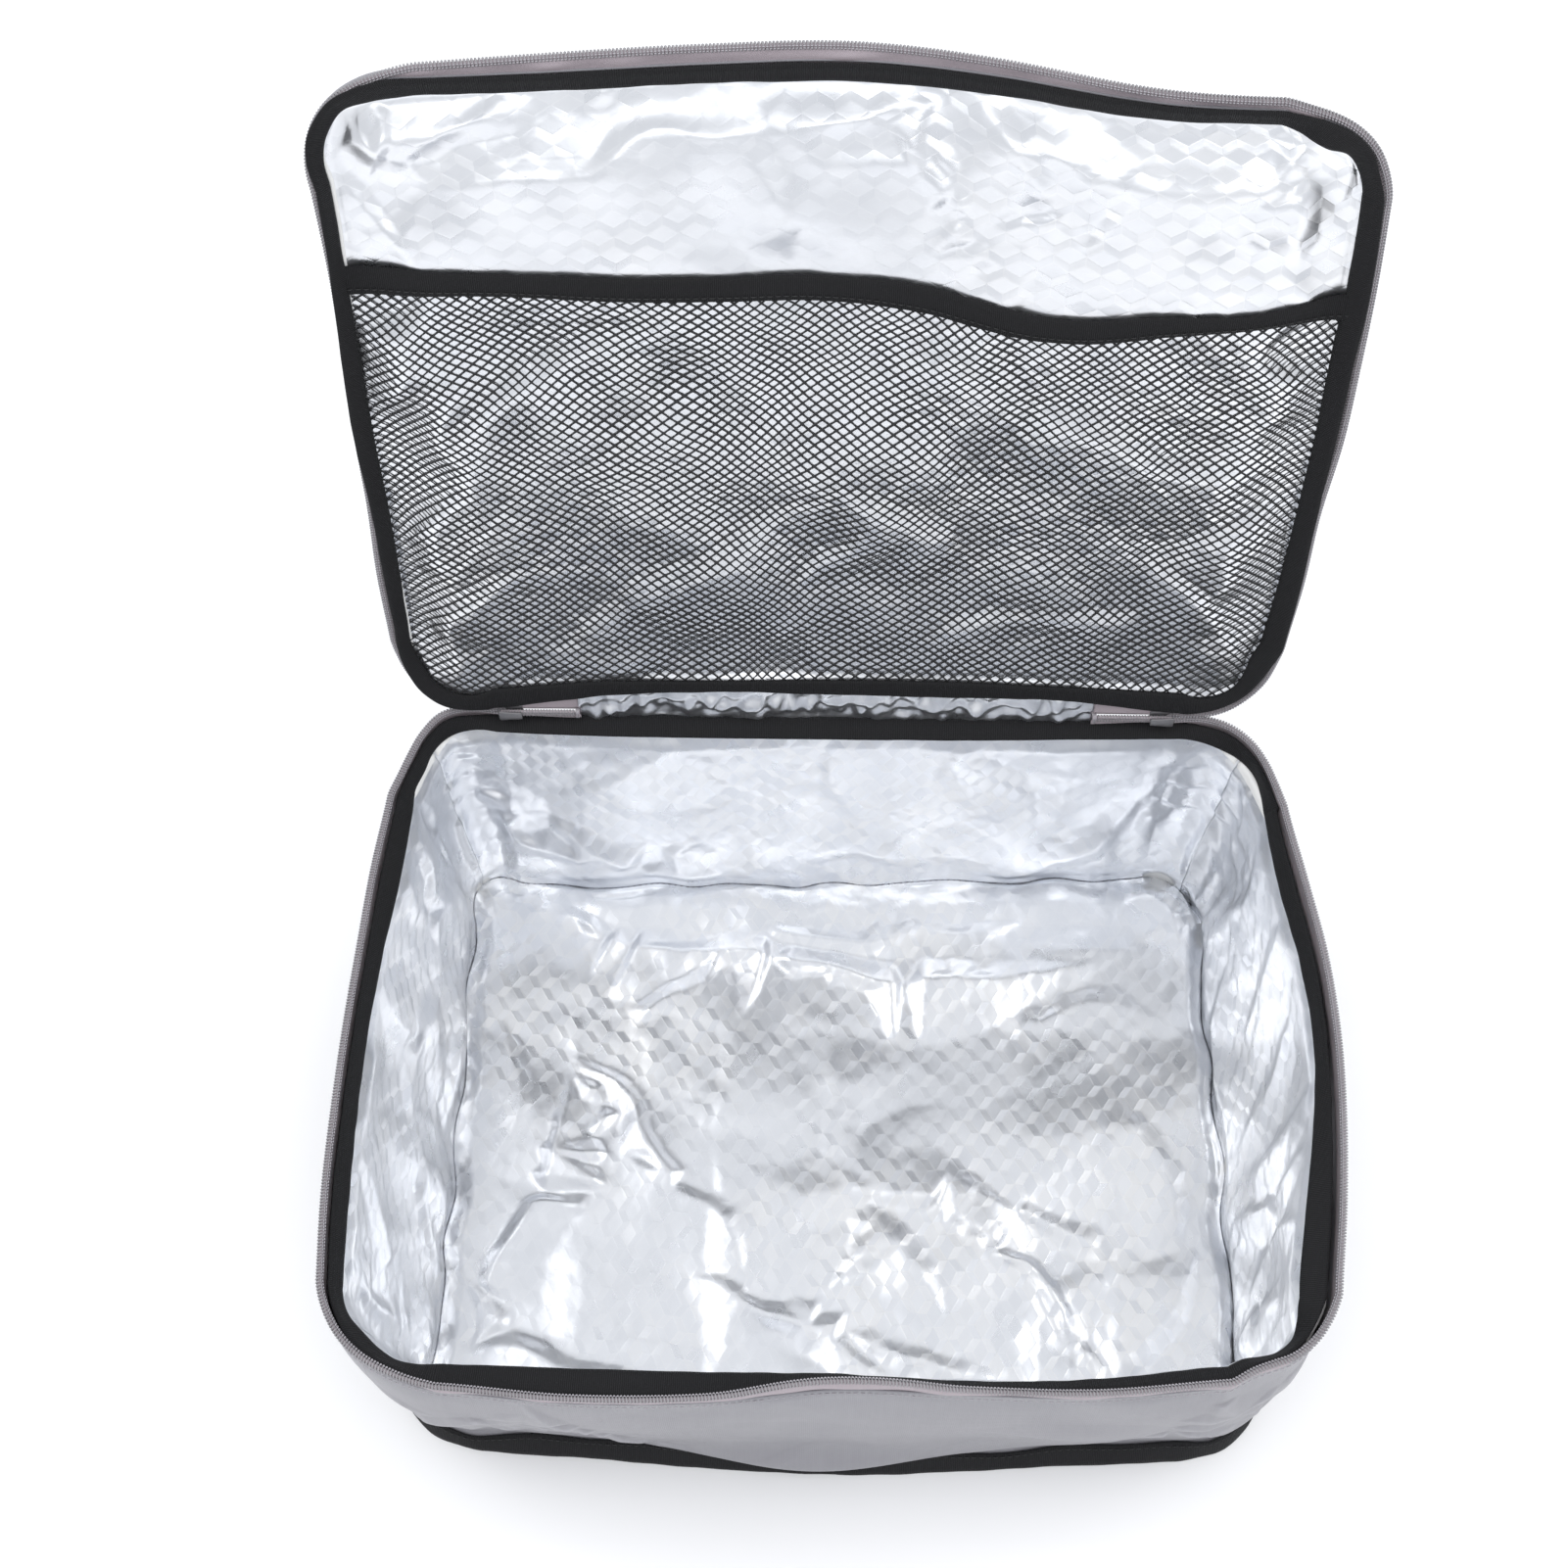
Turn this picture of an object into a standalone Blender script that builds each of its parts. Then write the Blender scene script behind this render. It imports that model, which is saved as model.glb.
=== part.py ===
"""Insulated soft bag with a zipped, padded lid, shown standing open.

Metres, +Z up. The origin is the centre of the underside of the base. The front
of the bag looks along -Y and the lid is hinged along the top of the back wall.
The lid is built lying closed and is then swung open about its hinge empty.
"""

import math

import bmesh
import bpy
from mathutils import Matrix, Vector

MM = 0.001

# Driving dimensions, in millimetres.
RIM_W = 450.0  # over the zipper coil, side to side
RIM_D = 350.0  # over the zipper coil, front to back
RIM_R = 50.0  # corner radius of the coil's outer line
RIM_Z = 160.15  # hinge line, where the two coils meet
SIDE_BOW = 11.0  # how far the middle of each side bellies out at the rim
WALL_TOP = 148.7
GAP = 0.3  # clearance between neighbouring pieces

SKIN = 0.8  # outer fabric
FOAM = 5.0
FOIL = 0.6
WALL_OFF = 2.0  # outer fabric's offset inside the coil's outer line

BAND_H = 12.0  # woven band round the foot
BAND_T = 1.2
BAND_OFF = 0.5
BASE_T = 1.0

TAPE_T = 1.0
COIL_W = 3.0
COIL_H = 3.0
BIND_W = 12.5  # folded woven binding
BIND_T = 3.0

LID_OPEN_DEG = 105.0  # how far the lid has swung back from closed
HINGE_Y = RIM_D / 2 - COIL_W / 2
LID_EDGE = 12.3  # lid panel's edge, inside the coil's outer line
LID_RISE = 16.3  # depth of the lid from its rim to its outer face

HINGE_HALF = 130.5  # half length of the hinge strip
CHAIN_END = 172.5
SLIDER_X = 167.0
SLIDER_LEN = 12.0
LID_ZIP_ARC = 30.0  # degrees of each back corner that the lid's zipper leaves free

POCKET_TOP = 252.0  # pocket's top edge, up the lid from the hinge
POCKET_BIND = 12.5
MESH_T = 0.8

PULL_LEN = 30.0
PULL_W = 7.0
PULL_T = 1.6
PIVOT_Y = 5.0  # pull's pivot behind the chain
PIN_R = 0.8
EYE_R = 0.88

CORNER_STEPS = 12
SIDE_STEPS = 8

for old in list(bpy.data.objects):
    bpy.data.objects.remove(old, do_unlink=True)

scene = bpy.context.scene
collection = scene.collection


def make_material(name, colour, rough, metal=0.0):
    mat = bpy.data.materials.new(name)
    mat.use_nodes = True
    shader = mat.node_tree.nodes["Principled BSDF"]
    shader.inputs["Base Color"].default_value = (*colour, 1.0)
    shader.inputs["Roughness"].default_value = rough
    shader.inputs["Metallic"].default_value = metal
    mat.diffuse_color = (*colour, 1.0)
    return mat


COLOURS = {
    "cloth": ((0.40, 0.385, 0.41), 0.5, 0.0),
    "tape": ((0.30, 0.27, 0.29), 0.75, 0.0),
    "coil": ((0.20, 0.20, 0.22), 0.45, 0.0),
    "webbing": ((0.012, 0.012, 0.014), 0.8, 0.0),
    "foil": ((0.78, 0.80, 0.84), 0.28, 0.85),
    "foam": ((0.86, 0.86, 0.85), 0.9, 0.0),
    "net": ((0.015, 0.015, 0.017), 0.7, 0.0),
    "metal": ((0.36, 0.36, 0.38), 0.35, 0.9),
}


def corner_span():
    return RIM_W / 2 - RIM_R, RIM_D / 2 - RIM_R


def loop_point(t, off):
    """A point of the rounded rectangle that lies off inside the coil's outer line.

    t runs anticlockwise from 0 to 8: a corner arc, then the side after it, starting
    with the arc at the back right.
    """
    cx, cy = corner_span()
    t = t % 8.0
    part = int(t)
    share = t - part
    r = RIM_R - off
    centres = ((cx, cy), (-cx, cy), (-cx, -cy), (cx, -cy))
    if part % 2 == 0:
        which = part // 2
        angle = math.radians(90.0 * (which + share))
        px, py = centres[which]
        return px + r * math.cos(angle), py + r * math.sin(angle)
    ends = {
        1: ((cx, cy + r), (-cx, cy + r)),
        3: ((-cx - r, cy), (-cx - r, -cy)),
        5: ((-cx, -cy - r), (cx, -cy - r)),
        7: ((cx + r, -cy), (cx + r, cy)),
    }[part]
    (ax, ay), (bx, by) = ends
    return ax + (bx - ax) * share, ay + (by - ay) * share


def stations(t0, t1):
    """The values of t at which a band from t0 to t1 has a cross-section."""
    marks = []
    for lap in (0, 8):
        for part in range(8):
            steps = CORNER_STEPS if part % 2 == 0 else (SIDE_STEPS if part in (3, 7) else 2)
            marks += [lap + part + k / steps for k in range(steps)]
    inner = [m for m in marks if t0 + 1e-4 < m < t1 - 1e-4]
    return [t0] + inner + [t1]


def back_t(x):
    """t of the point of the back side at this x."""
    cx, _ = corner_span()
    return 1.0 + (cx - x) / (2 * cx)


def belly(point):
    """The bag's sides belly outwards, more at the rim than at the foot."""
    x, y, z = point
    depth = max(0.0, 1.0 - (2 * y / RIM_D) ** 2)
    lift = max(0.0, min(1.0, z / RIM_Z))
    return x * (1 + SIDE_BOW * lift * depth / (RIM_W / 2)), y, z


def finish(name, bm, look, origin=(0, 0, 0), smooth=False, parent=None):
    """Makes an object of the solid, its origin at the given point, in millimetres."""
    bmesh.ops.recalc_face_normals(bm, faces=bm.faces)
    if bm.calc_volume(signed=True) < 0:
        bmesh.ops.reverse_faces(bm, faces=bm.faces)
    shift = Vector(origin)
    for vert in bm.verts:
        vert.co = (vert.co - shift) * MM
    mesh = bpy.data.meshes.new(name)
    bm.to_mesh(mesh)
    bm.free()
    for poly in mesh.polygons:
        poly.use_smooth = smooth
    obj = bpy.data.objects.new(name, mesh)
    obj.location = shift * MM
    colour, rough, metal = COLOURS[look]
    mesh.materials.append(make_material(name + "_" + look, colour, rough, metal))
    collection.objects.link(obj)
    if parent is not None:
        obj.parent = parent
        obj.location = (shift - Vector(parent["home_mm"])) * MM
    return obj


def band(name, profile, t0, t1, look, bow=True, parent=None, closed=False):
    """Sweeps a closed profile of (offset, z) round the rim line from t0 to t1."""
    bm = bmesh.new()
    marks = stations(t0, t1)
    if closed:
        marks = marks[:-1]
    rows = []
    for t in marks:
        row = []
        for off, z in profile:
            x, y = loop_point(t, off)
            point = belly((x, y, z)) if bow else (x, y, z)
            row.append(bm.verts.new(point))
        rows.append(row)
    n = len(profile)
    pairs = list(zip(rows, rows[1:]))
    if closed:
        pairs.append((rows[-1], rows[0]))
    for a, b in pairs:
        for i in range(n):
            j = (i + 1) % n
            # Nested bands share one diagonal, low at a and high at b.
            if profile[i][1] <= profile[j][1]:
                bm.faces.new((a[i], b[i], b[j]))
                bm.faces.new((a[i], b[j], a[j]))
            else:
                bm.faces.new((a[i], b[i], a[j]))
                bm.faces.new((b[i], b[j], a[j]))
    if not closed:
        bm.faces.new(rows[0])
        bm.faces.new(rows[-1][::-1])
    return finish(name, bm, look, parent=parent)


def outline(off, z, bow=True):
    marks = stations(0.0, 8.0)[:-1]
    found = []
    for t in marks:
        x, y = loop_point(t, off)
        found.append(belly((x, y, z)) if bow else (x, y, z))
    return found


def plate(name, off, z0, z1, look, bow=True, parent=None):
    """A flat rounded plate."""
    bm = bmesh.new()
    low = [bm.verts.new(p) for p in outline(off, z0, bow)]
    high = [bm.verts.new(p) for p in outline(off, z1, bow)]
    n = len(low)
    for i in range(n):
        j = (i + 1) % n
        bm.faces.new((low[i], low[j], high[j], high[i]))
    bm.faces.new(low[::-1])
    bm.faces.new(high)
    return finish(name, bm, look, parent=parent)


def tray(name, off_out, off_in, z_rim, z_in, z_out, look, soften=0.0, parent=None):
    """An upturned tray: a plate with a skirt that runs down to the rim."""
    bm = bmesh.new()
    levels = [(off_out, z_rim)]
    if soften:
        for k in range(5):
            a = math.radians(90.0 * k / 4)
            levels.append(
                (
                    off_out + soften * (1 - math.cos(a)),
                    z_out - soften * (1 - math.sin(a)),
                )
            )
    else:
        levels.append((off_out, z_out))
    outer = [[bm.verts.new(p) for p in outline(o, z, False)] for o, z in levels]
    inner_low = [bm.verts.new(p) for p in outline(off_in, z_rim, False)]
    inner_high = [bm.verts.new(p) for p in outline(off_in, z_in, False)]
    loops = [inner_high, inner_low] + outer
    n = len(inner_low)
    for a, b in zip(loops, loops[1:]):
        for i in range(n):
            j = (i + 1) % n
            bm.faces.new((a[i], a[j], b[j], b[i]))
    bm.faces.new(outer[-1])
    bm.faces.new(inner_high[::-1])
    return finish(name, bm, look, parent=parent)


def prism(name, points, axis, low, high, look, origin=(0, 0, 0), parent=None, smooth=False):
    """Extrudes a polygon. With axis 'z' its points are (x, y), with 'x' they are (y, z)."""
    bm = bmesh.new()

    def at(p, w):
        return (p[0], p[1], w) if axis == "z" else (w, p[0], p[1])

    a = [bm.verts.new(at(p, low)) for p in points]
    b = [bm.verts.new(at(p, high)) for p in points]
    n = len(points)
    for i in range(n):
        j = (i + 1) % n
        bm.faces.new((a[i], a[j], b[j], b[i]))
    bm.faces.new(a[::-1])
    bm.faces.new(b)
    return finish(name, bm, look, origin, smooth, parent)


def rect(off_a, off_b, z0, z1):
    return [(off_a, z0), (off_b, z0), (off_b, z1), (off_a, z1)]


# ---------------------------------------------------------------- the base
plate("base_panel", WALL_OFF, 0.0, BASE_T, "cloth")
band(
    "base_binding",
    rect(BAND_OFF, BAND_OFF + BAND_T, GAP, BAND_H),
    0.0,
    8.0,
    "webbing",
    closed=True,
)

off_foam = WALL_OFF + SKIN + GAP
off_foil = off_foam + FOAM + GAP
z_foam = BASE_T + GAP
z_floor = z_foam + FOAM + GAP
plate("base_foam", off_foam, z_foam, z_foam + FOAM, "foam")
plate("floor_liner", off_foil, z_floor, z_floor + FOIL, "foil")

# ---------------------------------------------------------------- the four walls
# Each wall takes its straight side and half of the corner at either end.
HALF_GAP_T = GAP / 2 / (math.pi / 2 * (RIM_R - off_foil - FOIL))
for side, middle in (("back", 1.5), ("left", 3.5), ("front", 5.5), ("right", 7.5)):
    start = middle - 1.0 + HALF_GAP_T
    end = middle + 1.0 - HALF_GAP_T
    band(
        side + "_panel",
        rect(WALL_OFF, WALL_OFF + SKIN, z_foam, WALL_TOP),
        start,
        end,
        "cloth",
    )
    band(
        side + "_foam",
        rect(off_foam, off_foam + FOAM, z_floor, WALL_TOP - 1.0),
        start,
        end,
        "foam",
    )
    band(
        side + "_liner",
        rect(off_foil, off_foil + FOIL, z_floor + FOIL + GAP, WALL_TOP),
        start,
        end,
        "foil",
    )

# ---------------------------------------------------------------- the body's rim
z_bind = WALL_TOP + GAP
bind_edge = WALL_OFF + GAP
corner = 0.9
band(
    "body_rim_binding",
    [
        (bind_edge, z_bind),
        (bind_edge + BIND_W - corner, z_bind),
        (bind_edge + BIND_W, z_bind + corner),
        (bind_edge + BIND_W, z_bind + BIND_T - corner),
        (bind_edge + BIND_W - corner, z_bind + BIND_T),
        (bind_edge, z_bind + BIND_T),
    ],
    0.0,
    8.0,
    "webbing",
    closed=True,
)


def coil_profile(off, z):
    """A coil's outline, rounded at its edges, from its outer bottom corner."""
    c = 0.8
    return [
        (off, z + c),
        (off + c, z),
        (off + COIL_W - c, z),
        (off + COIL_W, z + c),
        (off + COIL_W, z + COIL_H - c),
        (off + COIL_W - c, z + COIL_H),
        (off + c, z + COIL_H),
        (off, z + COIL_H - c),
    ]


z_coil = RIM_Z - 0.25 - COIL_H
band(
    "body_zipper_tape",
    rect(1.0, 1.0 + TAPE_T, z_bind, z_coil - GAP),
    back_t(-HINGE_HALF - 0.5),
    8.0 + back_t(HINGE_HALF + 0.5),
    "tape",
)
slider_end = SLIDER_X + SLIDER_LEN / 2 + 0.4
band(
    "body_zipper_coil",
    coil_profile(0.0, z_coil),
    back_t(-slider_end),
    8.0 + back_t(slider_end),
    "coil",
)

# The stretch of zipper that stays closed along the back, from each end of the
# hinge strip to the slider, lies on the hinge line.
chain_half_t, chain_half_h = 1.4, 3.15
chain_start = HINGE_HALF + 3.3
for side, sign in (("left", -1), ("right", 1)):
    c = 0.7
    y, z = HINGE_Y, RIM_Z
    outline_yz = [
        (y - chain_half_t, z - chain_half_h + c),
        (y - chain_half_t + c, z - chain_half_h),
        (y + chain_half_t - c, z - chain_half_h),
        (y + chain_half_t, z - chain_half_h + c),
        (y + chain_half_t, z + chain_half_h - c),
        (y + chain_half_t - c, z + chain_half_h),
        (y - chain_half_t + c, z + chain_half_h),
        (y - chain_half_t, z + chain_half_h - c),
    ]
    low, high = sorted((sign * chain_start, sign * CHAIN_END))
    prism("chain_" + side, outline_yz, "x", low, high, "coil")
    low, high = sorted((sign * (HINGE_HALF + 1.0), sign * (chain_start - GAP)))
    stop = [(y - 1.8, z - 3.3), (y + 1.8, z - 3.3), (y + 1.8, z + 3.3), (y - 1.8, z + 3.3)]
    prism("zip_stop_" + side, stop, "x", low, high, "webbing")

# ---------------------------------------------------------------- sliders and pulls
for side, sign in (("left", -1), ("right", 1)):
    home = (sign * SLIDER_X, HINGE_Y, RIM_Z)
    holder = bpy.data.objects.new("slider_" + side + "_track", None)
    holder.location = Vector(home) * MM
    holder["home_mm"] = home
    collection.objects.link(holder)

    y, z = HINGE_Y, RIM_Z
    shell = [
        (y - 3.0, z - 3.4),
        (y - 1.75, z - 3.4),
        (y - 1.75, z + 3.5),
        (y + 1.75, z + 3.5),
        (y + 1.75, z - 3.4),
        (y + 3.2, z - 3.4),
        (y + 3.2, z + 4.0),
        (y + 2.5, z + 4.7),
        (y - 2.3, z + 4.7),
        (y - 3.0, z + 4.0),
    ]
    x0 = home[0]
    slider = prism(
        "slider_" + side,
        shell,
        "x",
        x0 - SLIDER_LEN / 2,
        x0 + SLIDER_LEN / 2,
        "metal",
        origin=home,
        parent=holder,
    )
    # The lug that carries the pull stands on the slider's outer plate.
    lug = prism(
        "lug_shape_" + side,
        [(y + 3.0, z - 1.7), (y + 6.7, z - 1.7), (y + 6.7, z + 1.7), (y + 3.0, z + 1.7)],
        "x",
        x0 - 1.2,
        x0 + 1.2,
        "metal",
        origin=home,
        parent=holder,
    )
    eye = prism(
        "eye_shape_" + side,
        [
            (
                y + PIVOT_Y + EYE_R * math.cos(math.radians(k * 15.0)),
                z + EYE_R * math.sin(math.radians(k * 15.0)),
            )
            for k in range(24)
        ],
        "x",
        x0 - 3.0,
        x0 + 3.0,
        "metal",
        origin=home,
        parent=holder,
    )
    for tool, kind in ((lug, "UNION"), (eye, "DIFFERENCE")):
        tool.hide_render = True
        tool.display_type = "WIRE"
        step = slider.modifiers.new(tool.name, "BOOLEAN")
        step.operation = kind
        step.solver = "EXACT"
        step.object = tool

    swing = (x0, y + PIVOT_Y, z)
    swing_empty = bpy.data.objects.new("pull_" + side + "_pivot", None)
    swing_empty.location = (Vector(swing) - Vector(home)) * MM
    swing_empty.parent = holder
    swing_empty["home_mm"] = swing
    collection.objects.link(swing_empty)

    # The pull is a flat tag with a fork at its top; the fork's pin turns in the lug.
    t = PULL_T / 2
    tag = prism(
        "pull_" + side,
        [
            (swing[1] - t, swing[2] - PULL_LEN),
            (swing[1] + t, swing[2] - PULL_LEN),
            (swing[1] + t, swing[2] - 3.0),
            (swing[1] - t, swing[2] - 3.0),
        ],
        "x",
        x0 - PULL_W / 2,
        x0 + PULL_W / 2,
        "metal",
        origin=swing,
        parent=swing_empty,
    )
    pin = prism(
        "pin_shape_" + side,
        [
            (
                swing[1] + PIN_R * math.cos(math.radians(k * 15.0)),
                swing[2] + PIN_R * math.sin(math.radians(k * 15.0)),
            )
            for k in range(24)
        ],
        "x",
        x0 - 2.4,
        x0 + 2.4,
        "metal",
        origin=swing,
        parent=swing_empty,
    )
    tools = [(pin, "UNION")]
    for k in (-1, 1):
        arm = prism(
            "arm_shape_" + side + ("_a" if k < 0 else "_b"),
            [
                (swing[1] - t - 0.05, swing[2] - 3.4),
                (swing[1] + t + 0.05, swing[2] - 3.4),
                (swing[1] + t + 0.05, swing[2] + 1.0),
                (swing[1] - t - 0.05, swing[2] + 1.0),
            ],
            "x",
            min(x0 + k * 1.5, x0 + k * 2.7),
            max(x0 + k * 1.5, x0 + k * 2.7),
            "metal",
            origin=swing,
            parent=swing_empty,
        )
        tools.append((arm, "UNION"))
    window = prism(
        "window_shape_" + side,
        [
            (swing[1] - 2.0, swing[2] - PULL_LEN + 4.0),
            (swing[1] + 2.0, swing[2] - PULL_LEN + 4.0),
            (swing[1] + 2.0, swing[2] - 9.0),
            (swing[1] - 2.0, swing[2] - 9.0),
        ],
        "x",
        x0 - 1.6,
        x0 + 1.6,
        "metal",
        origin=swing,
        parent=swing_empty,
    )
    tools.append((window, "DIFFERENCE"))
    for tool, kind in tools:
        tool.hide_render = True
        tool.display_type = "WIRE"
        step = tag.modifiers.new(tool.name, "BOOLEAN")
        step.operation = kind
        step.solver = "EXACT"
        step.object = tool

# ---------------------------------------------------------------- hinge strip
# A cloth strip faced with foil joins the back wall's top to the lid's lower edge.
a = math.radians(LID_OPEN_DEG)


def opened(y, z):
    """Where a point of the closed lid, given across the hinge, is with the lid open."""
    dy, dz = y - HINGE_Y, z - RIM_Z
    return (
        HINGE_Y + dy * math.cos(a) + dz * math.sin(a),
        RIM_Z - dy * math.sin(a) + dz * math.cos(a),
    )


def strip(y0, z0, y1, z1, thick):
    along = math.hypot(y1 - y0, z1 - z0)
    ny, nz = (z1 - z0) / along * thick / 2, -(y1 - y0) / along * thick / 2
    return [(y0 - ny, z0 - nz), (y0 + ny, z0 + nz), (y1 + ny, z1 + nz), (y1 - ny, z1 - nz)]


lid_y = RIM_D / 2 - LID_EDGE
ty, tz = opened(lid_y, RIM_Z + 1.0)
prism(
    "hinge_fabric",
    strip(RIM_D / 2 - WALL_OFF + 0.5, WALL_TOP + 0.4, ty + 0.2, tz - 0.7, SKIN),
    "x",
    -HINGE_HALF,
    HINGE_HALF,
    "cloth",
)
ty, tz = opened(lid_y, RIM_Z - 1.6)
prism(
    "hinge_lining",
    strip(RIM_D / 2 - WALL_OFF - 1.2, z_bind + BIND_T + 0.4, ty - 0.4, tz - 0.9, FOIL),
    "x",
    -HINGE_HALF,
    HINGE_HALF,
    "foil",
)

# ---------------------------------------------------------------- the lid
hinge = bpy.data.objects.new("lid_hinge", None)
hinge["home_mm"] = (0.0, HINGE_Y, RIM_Z)
hinge.location = Vector(hinge["home_mm"]) * MM
collection.objects.link(hinge)

z_lid_coil = RIM_Z + 0.15
t_lid0 = 2.0 + LID_ZIP_ARC / 90.0
t_lid1 = 8.0 + 1.0 - LID_ZIP_ARC / 90.0
band(
    "lid_zipper_coil",
    coil_profile(0.0, z_lid_coil),
    t_lid0,
    t_lid1,
    "coil",
    bow=False,
    parent=hinge,
)
z_tape = z_lid_coil + (COIL_H - TAPE_T) / 2
band(
    "lid_zipper_tape",
    rect(COIL_W + GAP, LID_EDGE - GAP, z_tape, z_tape + TAPE_T),
    t_lid0,
    t_lid1,
    "tape",
    bow=False,
    parent=hinge,
)
z_rim = RIM_Z + 1.05
z_top = RIM_Z + 1.0 + LID_RISE
tray(
    "lid_panel",
    LID_EDGE,
    LID_EDGE + SKIN,
    z_rim,
    z_top - SKIN,
    z_top,
    "cloth",
    soften=1.6,
    parent=hinge,
)
foam_off = LID_EDGE + SKIN + GAP
z_pad = z_top - SKIN - GAP - FOAM
plate("lid_foam", foam_off, z_pad, z_pad + FOAM, "foam", bow=False, parent=hinge)
# A strip of foam stands along each edge of the lid, under the flat pad.
EDGE_FOAM = FOAM - 1.0
edge_gap_t = GAP / 2 / (math.pi / 2 * (RIM_R - foam_off - EDGE_FOAM))
for side, middle in (("back", 1.5), ("left", 3.5), ("front", 5.5), ("right", 7.5)):
    band(
        "lid_edge_foam_" + side,
        rect(foam_off, foam_off + EDGE_FOAM, z_rim, z_pad - GAP),
        middle - 1.0 + edge_gap_t,
        middle + 1.0 - edge_gap_t,
        "foam",
        bow=False,
        parent=hinge,
    )
foil_off = foam_off + EDGE_FOAM + GAP
tray(
    "lid_liner",
    foil_off,
    foil_off + FOIL,
    z_rim,
    z_top - SKIN - 2 * GAP - FOAM - FOIL,
    z_top - SKIN - 2 * GAP - FOAM,
    "foil",
    parent=hinge,
)
z_b1 = RIM_Z + 0.75
z_b0 = z_b1 - 2.5
band(
    "lid_rim_binding",
    [
        (LID_EDGE, z_b0 + corner),
        (LID_EDGE + corner, z_b0),
        (LID_EDGE + BIND_W - corner, z_b0),
        (LID_EDGE + BIND_W, z_b0 + corner),
        (LID_EDGE + BIND_W, z_b1),
        (LID_EDGE, z_b1),
    ],
    0.0,
    8.0,
    "webbing",
    bow=False,
    parent=hinge,
    closed=True,
)

# The net pocket covers the lid's hinge half and its sides and bottom are caught
# under the rim binding.
mesh_off = foil_off + FOIL + GAP
y_bind0 = HINGE_Y - POCKET_TOP
y_bind1 = y_bind0 + POCKET_BIND
y_mesh = y_bind1 + GAP
_, cy = corner_span()
side_y = RIM_D / 2 - mesh_off
t_right = 7.0 + (y_mesh + cy) / (2 * cy)
t_left = 3.0 + (cy - y_mesh) / (2 * cy)
net = [loop_point(t, mesh_off) for t in stations(t_right, 8.0 + t_left)]
prism("mesh_pocket", net, "z", z_rim, z_rim + MESH_T, "net", parent=hinge)
half = RIM_W / 2 - mesh_off
prism(
    "pocket_binding",
    [(-half, y_bind0), (half, y_bind0), (half, y_bind1), (-half, y_bind1)],
    "z",
    z_rim,
    z_rim + 1.8,
    "webbing",
    parent=hinge,
)

hinge.rotation_euler = (-math.radians(LID_OPEN_DEG), 0.0, 0.0)
bpy.context.view_layer.update()
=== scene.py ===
import math

import bpy
import numpy as np
from mathutils import Matrix, Vector
from mathutils.geometry import delaunay_2d_cdt


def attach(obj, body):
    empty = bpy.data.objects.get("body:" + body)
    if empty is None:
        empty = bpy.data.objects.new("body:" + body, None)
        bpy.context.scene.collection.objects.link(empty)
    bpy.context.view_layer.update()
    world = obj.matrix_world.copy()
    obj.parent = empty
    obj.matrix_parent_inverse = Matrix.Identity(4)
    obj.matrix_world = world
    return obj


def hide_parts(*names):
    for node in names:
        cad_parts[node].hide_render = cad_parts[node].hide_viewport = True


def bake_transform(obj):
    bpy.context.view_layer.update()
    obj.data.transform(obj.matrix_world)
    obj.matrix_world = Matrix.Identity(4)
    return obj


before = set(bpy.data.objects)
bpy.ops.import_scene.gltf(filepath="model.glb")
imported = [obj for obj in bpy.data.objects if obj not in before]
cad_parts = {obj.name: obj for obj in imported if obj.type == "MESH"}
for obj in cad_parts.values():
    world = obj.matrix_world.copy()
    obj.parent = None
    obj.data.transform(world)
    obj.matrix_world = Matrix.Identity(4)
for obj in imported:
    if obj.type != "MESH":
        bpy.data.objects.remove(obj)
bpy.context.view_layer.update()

MM = 0.001

# ------------------------------------------------------------------ sizes, in mm
RIM_W, RIM_D, RIM_R = 450.0, 350.0, 50.0
HINGE_Y, HINGE_Z = 173.5, 160.15
OPEN = math.radians(15.0)  # the open lid leans this far past upright
HINGE_HALF = 130.5
PITCH = 1.5  # zipper teeth
FLOOR_Z = 7.4

# Rails round the rim. Each holds 48 knots, six to a corner or a side, starting at
# the right side's back end and running anticlockwise. A value is how far the line
# lies outside the plain rounded rectangle, in mm.
BODY_COIL = [1.7, 0, 1.0, 3.0, 3.9, 2.9, 1.2, 0.1, 0, 0, 0, 0.3, 2.2, 5.0, 6.5, 2.9, -0.6, -1.6, 0.8, 4.9, 7.2, 9.2, 10.1, 9.9, 7.3, 4.4, 1.8, -0.9, -3.0, -3.4, -2.1, 2.3, 1.3, -5.2, -3.5, -3.0, -8.3, -12.1, -11.8, -8.6, -5.5, -2.2, 2.2, 8.7, 13.2, 15.2, 13.5, 7.8]
BIND_IN = [-6.8, -6.1, -3.5, -3.4, -5.3, -7.1, -8.5, -10.0, -11.1, -11.2, -11.1, -10.7, -8.4, -4.6, -2.0, -3.8, -8.1, -8.9, -10.0, -7.9, -3.1, 0.0, 0.6, -0.2, -1.9, -4.9, -9.3, -11.3, -12.7, -14.8, -15.7, -14.0, -13.5, -13.7, -11.2, -13.2, -19.5, -22.3, -20.2, -16.7, -15.0, -15.7, -15.5, -8.3, -0.1, 5.0, 2.8, -3.4]
BIND_IN_Z = [145.5, 145, 145, 146, 147.5, 150, 152, 152.6, 152.6, 152.6, 152.6, 152.6, 152, 150, 147.5, 146, 145, 145, 146, 147.5, 146, 145, 145, 145, 145, 145.5, 146, 146, 146.5, 147.5, 149.5, 152, 150.5, 149, 148.5, 148.5, 148, 146.5, 145.5, 145, 146, 148.5, 151, 151, 148.5, 146, 146, 146]
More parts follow.
